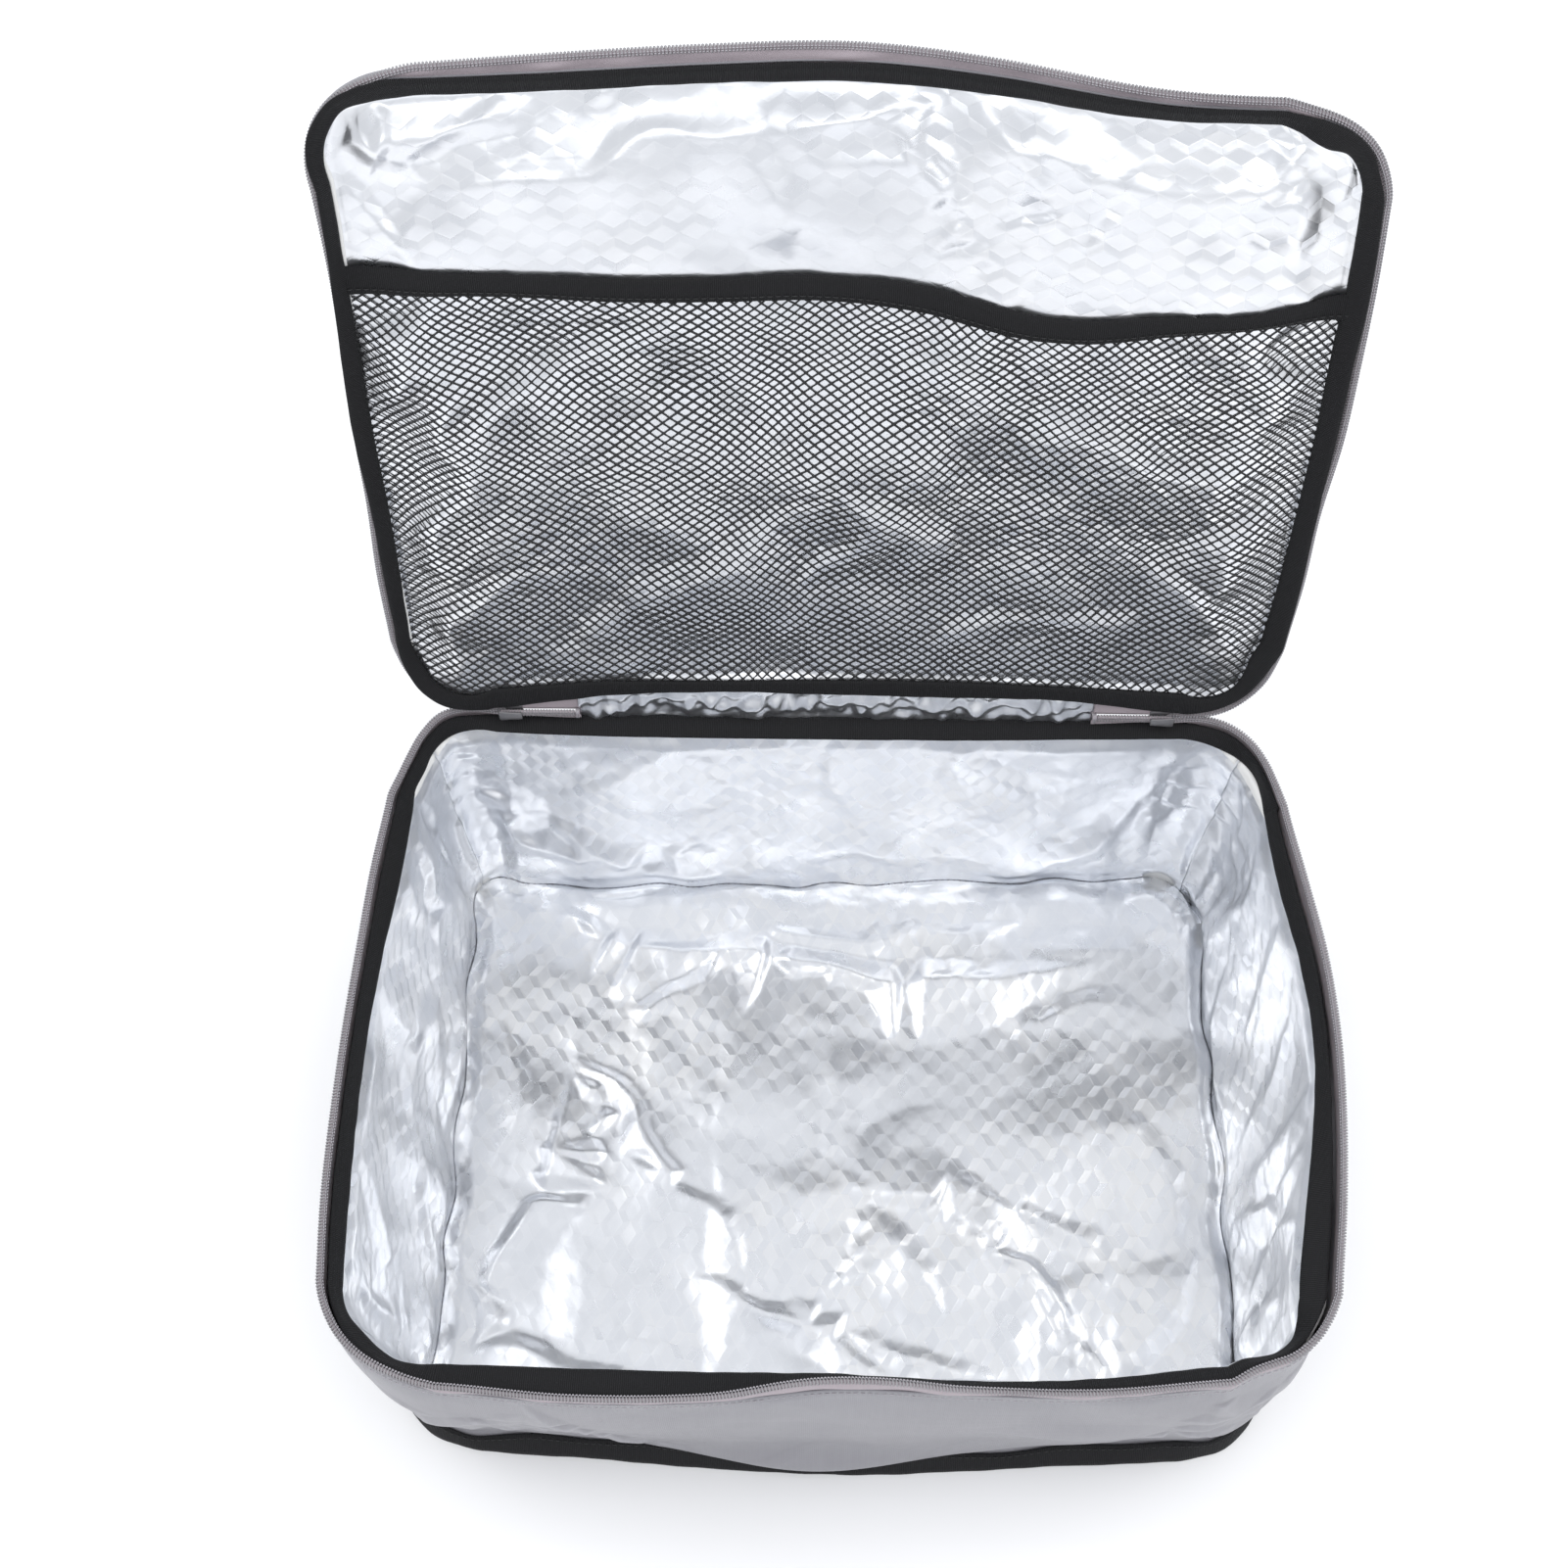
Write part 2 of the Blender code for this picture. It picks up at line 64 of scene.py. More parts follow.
LID_COIL = [-2.8, -3.6, -2.3, -1.0, 0.3, -0.1, -1.6, -2, -2, -2, -2, -2, -1.6, -0.1, 0.4, -0.6, -1.6, -2.6, -2.0, -0.9, -1.9, -1.4, -2.1, -2.6, -1.2, 0.9, 2.7, 3.4, 2.8, 2.3, 3.4, 5.4, 7.3, 8.2, 3.6, -2.4, -6.1, -8.0, -7.3, -5.4, -3.3, -1.6, 0.5, 2.6, 3.3, 3.2, 0.2, -0.3]
LID_OUT = [-3.8, -6.2, -6.3, -5.1, -4.9, -5.3, -6.4, -14.1, -15.7, -16.9, -18.1, -14.8, -5.4, -1.8, 0.8, 0.0, -2.5, -4.5, -5.3, -4.5, -3.8, -1.6, -2.2, -3.5, -3.7, -0.2, 2.6, 3.2, 1.5, -0.8, -2.4, -2.1, -0.4, 0.8, -3.2, -8.1, -10.9, -11.5, -10.7, -8.2, -6.2, -5.6, -3.0, -0.2, -0.5, -0.7, -1.7, -1.8]
LID_IN = [-13.9, -16.4, -14.7, -11.9, -11.4, -14.6, -19.4, -23.5, -26.3, -26.8, -25.4, -24.5, -18.0, -11.4, -8.2, -8.4, -10.4, -10.4, -10.4, -10.8, -10.4, -9.0, -9.2, -8.6, -8.0, -6.0, -4.4, -4.6, -8.9, -11.4, -12.1, -12.2, -10.5, -9.9, -13.2, -17.6, -19.1, -20.4, -21.4, -20.1, -15.4, -12.9, -10.4, -8.6, -9.3, -8.9, -9.8, -11.2]
LID_IN_N = [-6, -5, -4, -3, -2, -0.5, 0.5, 1, 1, 1, 1, 1, 0.5, -0.5, -1.5, -2.5, -4, -5.5, -6.5, -6.5, -6.5, -6.5, -6.5, -6.5, -6.5, -6, -6, -6, -6, -6, -6, -6, -6, -6, -6, -6, -5.5, -3.5, -2, -2.5, -5, -6.5, -7, -7, -6.5, -6, -6, -6]
FOOT_T = [0, 0.5, 1, 1.5, 2, 2.5, 3, 3.5, 4, 4.5, 5, 5.25, 5.5, 5.75, 6, 6.5, 7, 7.5, 8]
FOOT_D = [-5, -6, -4, -2, -4, -6, -6, -6, -7, -10, -13, -6, -0.5, -6, -13, -9, -6, -4, -5]

POCKET_TOP = [(-212, 259), (-191, 258.6), (-140, 255.4), (-84, 254), (-49, 252.8), (-18, 254.2), (16, 253.2), (42, 248.2), (69, 241.4), (86, 236.7), (104, 236), (121, 238), (138, 240.6), (172, 240.8), (198, 245.8), (218, 250.1)]
POCKET_LOW = [(-213, 245), (-169, 245.9), (-113, 242.9), (-56, 241), (-18, 241.9), (8, 241.2), (34, 237), (61, 230.2), (79, 225.3), (105, 224), (122, 226), (139, 229.6), (165, 232.8), (191, 234.9), (215, 236.7)]


# ------------------------------------------------------------------ curves
def rail(values):
    v = np.asarray(values, float)
    n = len(v)

    def at(t):
        u = np.mod(np.asarray(t, float), 8.0) * n / 8
        i = np.floor(u).astype(int)
        f = u - i
        a, b, c, d = (v[(i + k) % n] for k in (-1, 0, 1, 2))
        return b + 0.5 * f * (c - a + f * (2 * a - 5 * b + 4 * c - d + f * (3 * (b - c) + d - a)))

    return at


body_coil = rail(BODY_COIL)
bind_in = rail(BIND_IN)
bind_in_z = rail(BIND_IN_Z)
lid_coil = rail(LID_COIL)
lid_out = rail(LID_OUT)
lid_in = rail(LID_IN)
lid_in_n = rail(LID_IN_N)
foot = rail([float(np.mean(np.interp(np.mod(k / 6 + np.linspace(-0.2, 0.2, 9), 8), FOOT_T, FOOT_D))) for k in range(48)])

CX, CY = RIM_W / 2 - RIM_R, RIM_D / 2 - RIM_R
CENTRES = np.array([(CX, CY), (-CX, CY), (-CX, -CY), (CX, -CY)], float)


def loop(t):
    """The plain rounded rectangle's point and its outward direction."""
    t = np.mod(np.asarray(t, float), 8.0)
    part = np.minimum(np.floor(t).astype(int), 7)
    share = t - part
    k = part // 2
    arc = part % 2 == 0
    angle = np.where(arc, k + share, k + 1.0) * math.pi / 2
    normal = np.stack([np.cos(angle), np.sin(angle)], -1)
    a, b = CENTRES[k], CENTRES[(k + 1) % 4]
    centre = np.where(arc[..., None], a, a + (b - a) * share[..., None])
    return centre + RIM_R * normal, normal


def locate(x, y):
    """t and the distance outside the plain rounded rectangle of points in the plane."""
    x, y = np.broadcast_arrays(np.asarray(x, float), np.asarray(y, float))
    ax, ay = np.abs(x) - CX, np.abs(y) - CY
    in_corner = (ax > 0) & (ay > 0)
    t = np.empty_like(x)
    d = np.empty_like(x)
    quad = np.where(x >= 0, np.where(y >= 0, 0, 3), np.where(y >= 0, 1, 2))
    cx, cy = CENTRES[quad, 0], CENTRES[quad, 1]
    ang = np.mod(np.arctan2(y - cy, x - cx), 2 * math.pi) / (math.pi / 2)
    t[:] = quad * 2 + np.clip(ang - quad, 0, 1)
    d[:] = np.hypot(x - cx, y - cy) - RIM_R
    side_x = np.abs(x) - RIM_W / 2
    side_y = np.abs(y) - RIM_D / 2
    flat = ~in_corner
    use_x = flat & (side_x >= side_y)
    use_y = flat & ~use_x
    tx = np.where(x >= 0, 7 + (y + CY) / (2 * CY), 3 + (CY - y) / (2 * CY))
    ty = np.where(y >= 0, 1 + (CX - x) / (2 * CX), 5 + (x + CX) / (2 * CX))
    t[use_x] = np.where(x >= 0, np.clip(tx, 7, 8), np.clip(tx, 3, 4))[use_x]
    d[use_x] = side_x[use_x]
    t[use_y] = np.where(y >= 0, np.clip(ty, 1, 2), np.clip(ty, 5, 6))[use_y]
    d[use_y] = side_y[use_y]
    return t, d


def even_t(t0, t1, step):
    """Values of t from t0 to t1 that lie evenly along the rim, about step mm apart."""
    fine = np.linspace(t0, t1, max(200, int(abs(t1 - t0) * 500)) + 1)
    p, _ = loop(fine)
    length = np.concatenate([[0], np.cumsum(np.hypot(*np.diff(p, axis=0).T))])
    n = max(2, int(round(length[-1] / step)) + 1)
    return np.interp(np.linspace(0, length[-1], n), length, fine)


def ring_point(t, d, z):
    p, normal = loop(t)
    q = p + normal * np.asarray(d)[..., None]
    return np.concatenate([q, np.broadcast_to(np.asarray(z, float), q.shape[:-1])[..., None]], -1)


def lid_bend(x, s):
    """How far the open lid's panel bows towards its inner face."""
    w = np.clip(s / 351.0, 0, 1.1)
    x = np.clip(x, -225, 225)
    return w**2 * (-16 * np.cos(math.pi * x / 450) + 10 * np.exp(-(((x - 130) / 60) ** 2)))


SN, CS = math.sin(OPEN), math.cos(OPEN)


def lid_world(x, s, n):
    """World place of a point of the lid: s up the lid from the hinge, n towards its inner face."""
    x, s, n = np.broadcast_arrays(np.asarray(x, float), s, n)
    n = n + lid_bend(x, s)
    return np.stack([x, HINGE_Y + s * SN - n * CS, HINGE_Z + s * CS + n * SN], -1)


def lid_ring(t, d, n):
    p, normal = loop(t)
    q = p + normal * np.asarray(d, float)[..., None]
    return lid_world(q[..., 0], HINGE_Y - q[..., 1], n)


def noise(P, scale, seed, waves=26):
    """Smooth noise of about unit size, from waves of about this length in mm."""
    r = np.random.default_rng(seed)
    k = r.normal(size=(waves, 3))
    k *= (2 * math.pi / scale) * r.uniform(0.55, 1.5, (waves, 1)) / np.linalg.norm(k, axis=1, keepdims=True)
    ph = r.uniform(0, 2 * math.pi, waves)
    flat = P.reshape(-1, 3)
    out = np.zeros(len(flat))
    for a, b in zip(k, ph):
        out += np.cos(flat @ a + b)
    return (out * math.sqrt(2.0 / waves)).reshape(P.shape[:-1])


def smoothstep(a, b, x):
    u = np.clip((x - a) / (b - a), 0, 1)
    return u * u * (3 - 2 * u)


# ------------------------------------------------------------------ meshes
def make(name, verts, faces, uvs=None, material=None, smooth=True, extra=()):
    """An object from verts in mm and an array of faces, with UVs in mm per corner."""
    blocks = [np.asarray(faces, np.int64)] if len(faces) else []
    for more in extra:
        blocks.append(np.asarray(more, np.int64))
    index = np.concatenate([b.reshape(-1) for b in blocks])
    sizes = np.concatenate([np.full(len(b), b.shape[1]) for b in blocks])
    mesh = bpy.data.meshes.new(name)
    mesh.vertices.add(len(verts))
    mesh.vertices.foreach_set("co", (np.asarray(verts, np.float64) * MM).astype(np.float32).reshape(-1))
    mesh.loops.add(len(index))
    mesh.loops.foreach_set("vertex_index", index.astype(np.int32))
    mesh.polygons.add(len(sizes))
    starts = np.concatenate([[0], np.cumsum(sizes)[:-1]])
    mesh.polygons.foreach_set("loop_start", starts.astype(np.int32))
    mesh.update(calc_edges=True)
    mesh.validate()
    if uvs is not None:
        layer = mesh.uv_layers.new(name="Flat")
        layer.data.foreach_set("uv", np.asarray(uvs, np.float32).reshape(-1))
    mesh.polygons.foreach_set("use_smooth", np.full(len(mesh.polygons), smooth))
    obj = bpy.data.objects.new(name, mesh)
    bpy.context.scene.collection.objects.link(obj)
    if material is not None:
        mesh.materials.append(material)
    return obj


def grid_faces(n, m, wrap=False, flip=False, start=0):
    i = np.arange(n if wrap else n - 1)[:, None]
    j = np.arange(m - 1)[None, :]
    a = i * m + j
    b = ((i + 1) % n) * m + j
    f = np.stack([a, b, b + 1, a + 1], -1).reshape(-1, 4) + start
    return f[:, ::-1] if flip else f


def normals_of(G, wrap=False):
    if wrap:
        du = np.roll(G, -1, 0) - np.roll(G, 1, 0)
    else:
        du = np.gradient(G, axis=0)
    dv = np.gradient(G, axis=1)
    n = np.cross(du, dv)
    return n / np.maximum(np.linalg.norm(n, axis=-1, keepdims=True), 1e-9)


def lengths(G, axis):
    d = np.linalg.norm(np.diff(G, axis=axis), axis=-1)
    z = np.zeros_like(np.take(d, [0], axis=axis))
    return np.cumsum(np.concatenate([z, d], axis=axis), axis=axis)


def flat_uv(G, wrap, u0=0.0, v0=0.0):
    """(u, v) in mm for each grid point, with one more row where it wraps."""
    H = np.concatenate([G, G[:1]], 0) if wrap else G
    u = lengths(H, 0).mean(1, keepdims=True) + 0 * H[..., 0] + u0
    v = lengths(H, 1).mean(0, keepdims=True) + 0 * H[..., 0] + v0
    return np.stack([u, v], -1)


def corner_uv(UV, flip=False):
    f = np.stack([UV[:-1, :-1], UV[1:, :-1], UV[1:, 1:], UV[:-1, 1:]], 2).reshape(-1, 4, 2)
    return f[:, ::-1] if flip else f


def sheet_mesh(name, G, thick, material, wrap=False, flip=False, UV=None, smooth=True):
    """A closed thin sheet about the grid of points G. Its face looks along the grid's normal, or against it with flip."""
    n, m, _ = G.shape
    N = normals_of(G, wrap)
    top, low = G + N * thick / 2, G - N * thick / 2
    if UV is None:
        UV = flat_uv(G, wrap)
    V = np.concatenate([top.reshape(-1, 3), low.reshape(-1, 3)])
    size = n * m
    blocks = [grid_faces(n, m, wrap), grid_faces(n, m, wrap, flip=True, start=size)]
    uvs = [corner_uv(UV), corner_uv(UV, flip=True)]

    def wall(ids, uv):
        a, b = ids[:-1], ids[1:]
        f = np.stack([a, a + size, b + size, b], -1)
        w = np.stack([uv[:-1], uv[:-1], uv[1:], uv[1:]], 1)
        blocks.append(f)
        uvs.append(w)

    ids = np.arange(size).reshape(n, m)
    if wrap:
        low_row = np.concatenate([ids[:, 0], ids[:1, 0]])
        high_row = np.concatenate([ids[:, -1], ids[:1, -1]])
        wall(low_row, UV[:, 0])
        wall(high_row[::-1], UV[::-1, -1])
    else:
        wall(ids[:, 0], UV[:, 0])
        wall(ids[::-1, -1], UV[::-1, -1])
        wall(ids[0, ::-1], UV[0, ::-1])
        wall(ids[-1, :], UV[-1, :])
    F = np.concatenate(blocks)
    W = np.concatenate([u.reshape(-1, 4, 2) for u in uvs])
    if flip:
        F, W = F[:, ::-1], W[:, ::-1]
    return make(name, V, F, W, material, smooth)


def crest_of(h, step):
    """From -1 in a valley to 1 on a crest, from the bend of the height field h on a grid of about step mm."""
    pad = np.pad(h, 1, mode="edge")
    bend = (4 * h - pad[2:, 1:-1] - pad[:-2, 1:-1] - pad[1:-1, 2:] - pad[1:-1, :-2]) / step**2
    return np.clip(bend / 0.35, -1, 1)


def paint_crest_shading(obj, C):
    """Stores how far each point of a sheet's grid is a crest, for its cloth's colour: a painted highlight on crests
    and painted shade in folds.
    """
    field = obj.data.attributes.new("crest", "FLOAT", "POINT")
    both = np.concatenate([C.reshape(-1), C.reshape(-1)]).astype(np.float32)
    field.data.foreach_set("value", both)


def tube_grid(C, A, B, section):
    """Cross-sections round each point of C: section is (a, b) pairs along A and B."""
    sec = np.asarray(section, float)
    if sec.ndim == 2:
        sec = np.broadcast_to(sec, (len(C),) + sec.shape)
    return C[:, None] + A[:, None] * sec[..., 0:1] + B[:, None] * sec[..., 1:2]


def sweep(name, G, material, closed=False, smooth=True, UV=None):
    """A solid from rings of points G (n, k, 3); closed joins its ends, or they are capped."""
    n, k, _ = G.shape
    ring = np.concatenate([G, G[:, :1]], 1)
    H = np.concatenate([ring, ring[:1]], 0) if closed else ring
    if UV is None:
        u = lengths(H, 0)[:, :1] + 0 * H[..., 0]
        v = lengths(H, 1).mean(0, keepdims=True) + 0 * H[..., 0]
        UV = np.stack([u, v], -1)
    i = np.arange(n if closed else n - 1)[:, None]
    j = np.arange(k)[None, :]
    a = i * k + j
    b = ((i + 1) % n) * k + j
    a2 = i * k + (j + 1) % k
    b2 = ((i + 1) % n) * k + (j + 1) % k
    F = np.stack([a, b, b2, a2], -1).reshape(-1, 4)
    W = corner_uv(UV)
    V = G.reshape(-1, 3)
    # The solid's faces look outwards.
    tri = V[F]
    vol = np.einsum("ij,ij->", tri[:, 0], np.cross(tri[:, 1], tri[:, 2])) + np.einsum("ij,ij->", tri[:, 0], np.cross(tri[:, 2], tri[:, 3]))
    extra, more = [], []
    if not closed:
        first, last = np.arange(k)[None, :], (np.arange(k) + (n - 1) * k)[None, ::-1]
        cap = np.concatenate([V[first[0]][None], V[last[0]][None]])
        for c in (first, last):
            q = V[c[0]]
            vol += sum(np.dot(q[0], np.cross(q[x], q[x + 1])) for x in range(1, k - 1))
            extra.append(c)
            more.append(np.zeros((k, 2)) + UV[0, 0])
    if vol < 0:
        F, W = F[:, ::-1], W[:, ::-1]
        extra = [c[:, ::-1] for c in extra]
    uvs = np.concatenate([W.reshape(-1, 2)] + more)
    return make(name, V, F, uvs, material, smooth, extra)


def join(name, parts, material=None):
    """One object of several, which keep their own materials."""
    bpy.ops.object.select_all(action="DESELECT")
    for p in parts:
        p.select_set(True)
    bpy.context.view_layer.objects.active = parts[0]
    bpy.ops.object.join()
    obj = bpy.context.view_layer.objects.active
    obj.name = name
    obj.data.name = name
    return obj


def frames_of(C, up, closed=True):
    """Tangent T, and two directions across it: A nearest to up, and B."""
    T = (np.roll(C, -1, 0) - np.roll(C, 1, 0)) if closed else np.gradient(C, axis=0)
    T = T / np.linalg.norm(T, axis=1, keepdims=True)
    A = up - T * (up * T).sum(1, keepdims=True)
    A = A / np.linalg.norm(A, axis=1, keepdims=True)
    return T, A, np.cross(T, A)


def by_length(C, step, closed):
    """Index positions along the polyline C that are step apart, as floats."""
    H = np.concatenate([C, C[:1]]) if closed else C
    s = np.concatenate([[0], np.cumsum(np.linalg.norm(np.diff(H, axis=0), axis=1))])
    n = int(round(s[-1] / step))
    want = np.linspace(0, s[-1], n + 1)
    if closed:
        want = want[:-1]
    return np.interp(want, s, np.arange(len(H))), s[-1]


def sample(C, at, closed):
    H = np.concatenate([C, C[:1]]) if closed else C
    i = np.minimum(np.floor(at).astype(int), len(H) - 2)
    f = (at - i)[:, None]
    return H[i] * (1 - f) + H[i + 1] * f


# ------------------------------------------------------------------ crumpling
def relax(P, base, normal, low, high, pin, grow, sweeps, wrap=False, bend=0.12, fold=1.15, tether=0.01):
    """Lets a sheet that is grow times its base's size settle between two limits.

    Its edges keep their lengths, so that it buckles into folds. low and high bound
    how far a point may leave the base along its normal.
    """
    P = P.copy()
    free = (~pin).astype(float)[..., None]
    n = P.shape[0]

    def pairs(step_u, step_v, stride, phase):
        """Slices of the first and second points of the edges of one colour."""
        count = n if wrap and step_u else n - abs(step_u)
        i = np.arange(count)
        if step_u:
            i = i[(i // stride) % 2 == phase]
        return i

    groups = []
    for du, dv in ((1, 0), (0, 1), (1, 1), (1, -1)):
        for phase in (0, 1):
            groups.append((du, dv, 1, phase, 1.0, None))
    for du, dv in ((2, 0), (0, 2)):
        for phase in (0, 1):
            groups.append((du, dv, 2, phase, bend, fold))
    m = P.shape[1]
    work = []
    for du, dv, stride, phase, stiff, least in groups:
        if du:
            i = pairs(du, dv, stride, phase)
            ia, ib = i, (i + du) % n if wrap else i + du
            if dv >= 0:
                ja, jb = slice(0, m - dv), slice(dv, m)
            else:
                ja, jb = slice(1, m), slice(0, m - 1)
            ka, kb = (ia, ja), (ib, jb)
        else:
            j = np.arange(m - dv)
            j = j[(j // stride) % 2 == phase]
            ka, kb = (slice(None), j), (slice(None), j + dv)
        rest = np.linalg.norm(base[kb] - base[ka], axis=-1, keepdims=True) * grow
        wa, wb = free[ka], free[kb]
        total = np.maximum(wa + wb, 1e-9)
        work.append((ka, kb, rest, wa / total, wb / total, stiff, least))
    for sweep_no in range(sweeps):
        for ka, kb, rest, wa, wb, stiff, least in work:
            a, b = P[ka], P[kb]
            d = b - a
            size = np.sqrt((d * d).sum(-1, keepdims=True)) + 1e-9
            if least is None:
                off = (size - rest) / size * stiff
            else:
                short = np.minimum(size - rest, 0.0)
                off = short / size * stiff
                hard = np.minimum(size - rest * 0.5 * least, 0.0)
                off = off + hard / size * (0.5 - stiff)
            d *= off
            P[ka] = a + d * wa
            P[kb] = b - d * wb
        h = ((P - base) * normal).sum(-1, keepdims=True)
        away = (P - base) - normal * h
        fix = np.clip(h, low[..., None], high[..., None]) - h
        P += (normal * fix - away * tether) * free
    return P


def finer(G, wrap):
    """Twice as many points each way, on a smooth surface through the old ones."""
    def along(X, wrap):
        X = np.swapaxes(X, 0, 0)
        if wrap:
            a, b, c, d = np.roll(X, 1, 0), X, np.roll(X, -1, 0), np.roll(X, -2, 0)
            mid = (9 * (b + c) - (a + d)) / 16
            out = np.empty((2 * len(X),) + X.shape[1:])
            out[0::2], out[1::2] = X, mid
            return out
        E = np.concatenate([2 * X[:1] - X[1:2], X, 2 * X[-1:] - X[-2:-1]])
        mid = (9 * (E[1:-2] + E[2:-1]) - (E[:-3] + E[3:])) / 16
        out = np.empty((2 * len(X) - 1,) + X.shape[1:])
        out[0::2], out[1::2] = X, mid
        return out

    G = along(G, wrap)
    return np.swapaxes(along(np.swapaxes(G, 0, 1), False), 0, 1)


def smooth_path(points, n=24):
    """A rounded path through the points, without the kinks of straight pieces."""
    q = np.asarray(points, float)
    q = np.concatenate([2 * q[:1] - q[1:2], q, 2 * q[-1:] - q[-2:-1]])
    u = np.linspace(0, len(q) - 3 - 1e-6, n)
    i = np.floor(u).astype(int)
    f = (u - i)[:, None]
    a, b, c, d = q[i], q[i + 1], q[i + 2], q[i + 3]
    return b + 0.5 * f * (c - a + f * (2 * a - 5 * b + 4 * c - d + f * (3 * (b - c) + d - a)))


def folds(lines, xy, seed, warp=5.0, period=None):
    """Height at xy of sharp folds, each (path, height, width, lean). lean widens one flank."""
    P = np.concatenate([xy, 0 * xy[..., :1]], -1)
    xy = xy + warp * np.stack([noise(P, 75, seed), noise(P, 75, seed + 1)], -1)
    xy = xy + 0.22 * warp * np.stack([noise(P, 22, seed + 2), noise(P, 22, seed + 3)], -1)
    out = np.zeros(xy.shape[:-1])
    for path, height, width, lean in lines:
        line = smooth_path(path)
        here = xy
        if period:
            centre = line[:, 0].mean()
            here = xy.copy()
            here[..., 0] = np.mod(xy[..., 0] - centre + period / 2, period) - period / 2 + centre
        reach = width * 2.6
        lo, hi = line.min(0) - reach, line.max(0) + reach
        near = ((here > lo) & (here < hi)).all(-1)
        if not near.any():
            continue
        pts = here[near]
        a_, b_ = line[:-1], line[1:]
        d_ = b_ - a_
        l2 = (d_**2).sum(-1)
        rel = pts[:, None] - a_[None]
        share = np.clip((rel * d_[None]).sum(-1) / l2, 0, 1)
        gap = rel - share[..., None] * d_[None]
        dist = np.hypot(gap[..., 0], gap[..., 1])
        k = dist.argmin(1)
        rows = np.arange(len(pts))
        best = dist[rows, k]
        run = np.concatenate([[0], np.cumsum(np.sqrt(l2))])
        along = (run[k] + share[rows, k] * np.sqrt(l2[k])) / run[-1]
        side = np.sign(d_[k, 0] * rel[rows, k, 1] - d_[k, 1] * rel[rows, k, 0])
        w = width * (1 + lean * side)
        taper = np.clip(np.minimum(along, 1 - along) * 3.4, 0, 1)
        taper = taper * (2 - taper)
        r = best / w
        # A crease with straight flanks that level out.
        out[near] += height * taper * np.exp(-1.7 * r) * np.clip(1 - r / 2.6, 0, 1)
    return out


def blur(H, sigma):
    """The field H (on a 1 mm grid) smoothed over sigma mm."""
    reach = int(3 * sigma + 1)
    k = np.exp(-0.5 * (np.arange(-reach, reach + 1) / sigma) ** 2)
    k /= k.sum()
    for axis in (0, 1):
        wide = np.concatenate([np.repeat(H.take([0], axis), reach, axis), H, np.repeat(H.take([-1], axis), reach, axis)], axis)
        H = sum(w * wide.take(range(a, a + H.shape[axis]), axis) for a, w in enumerate(k))
    return H


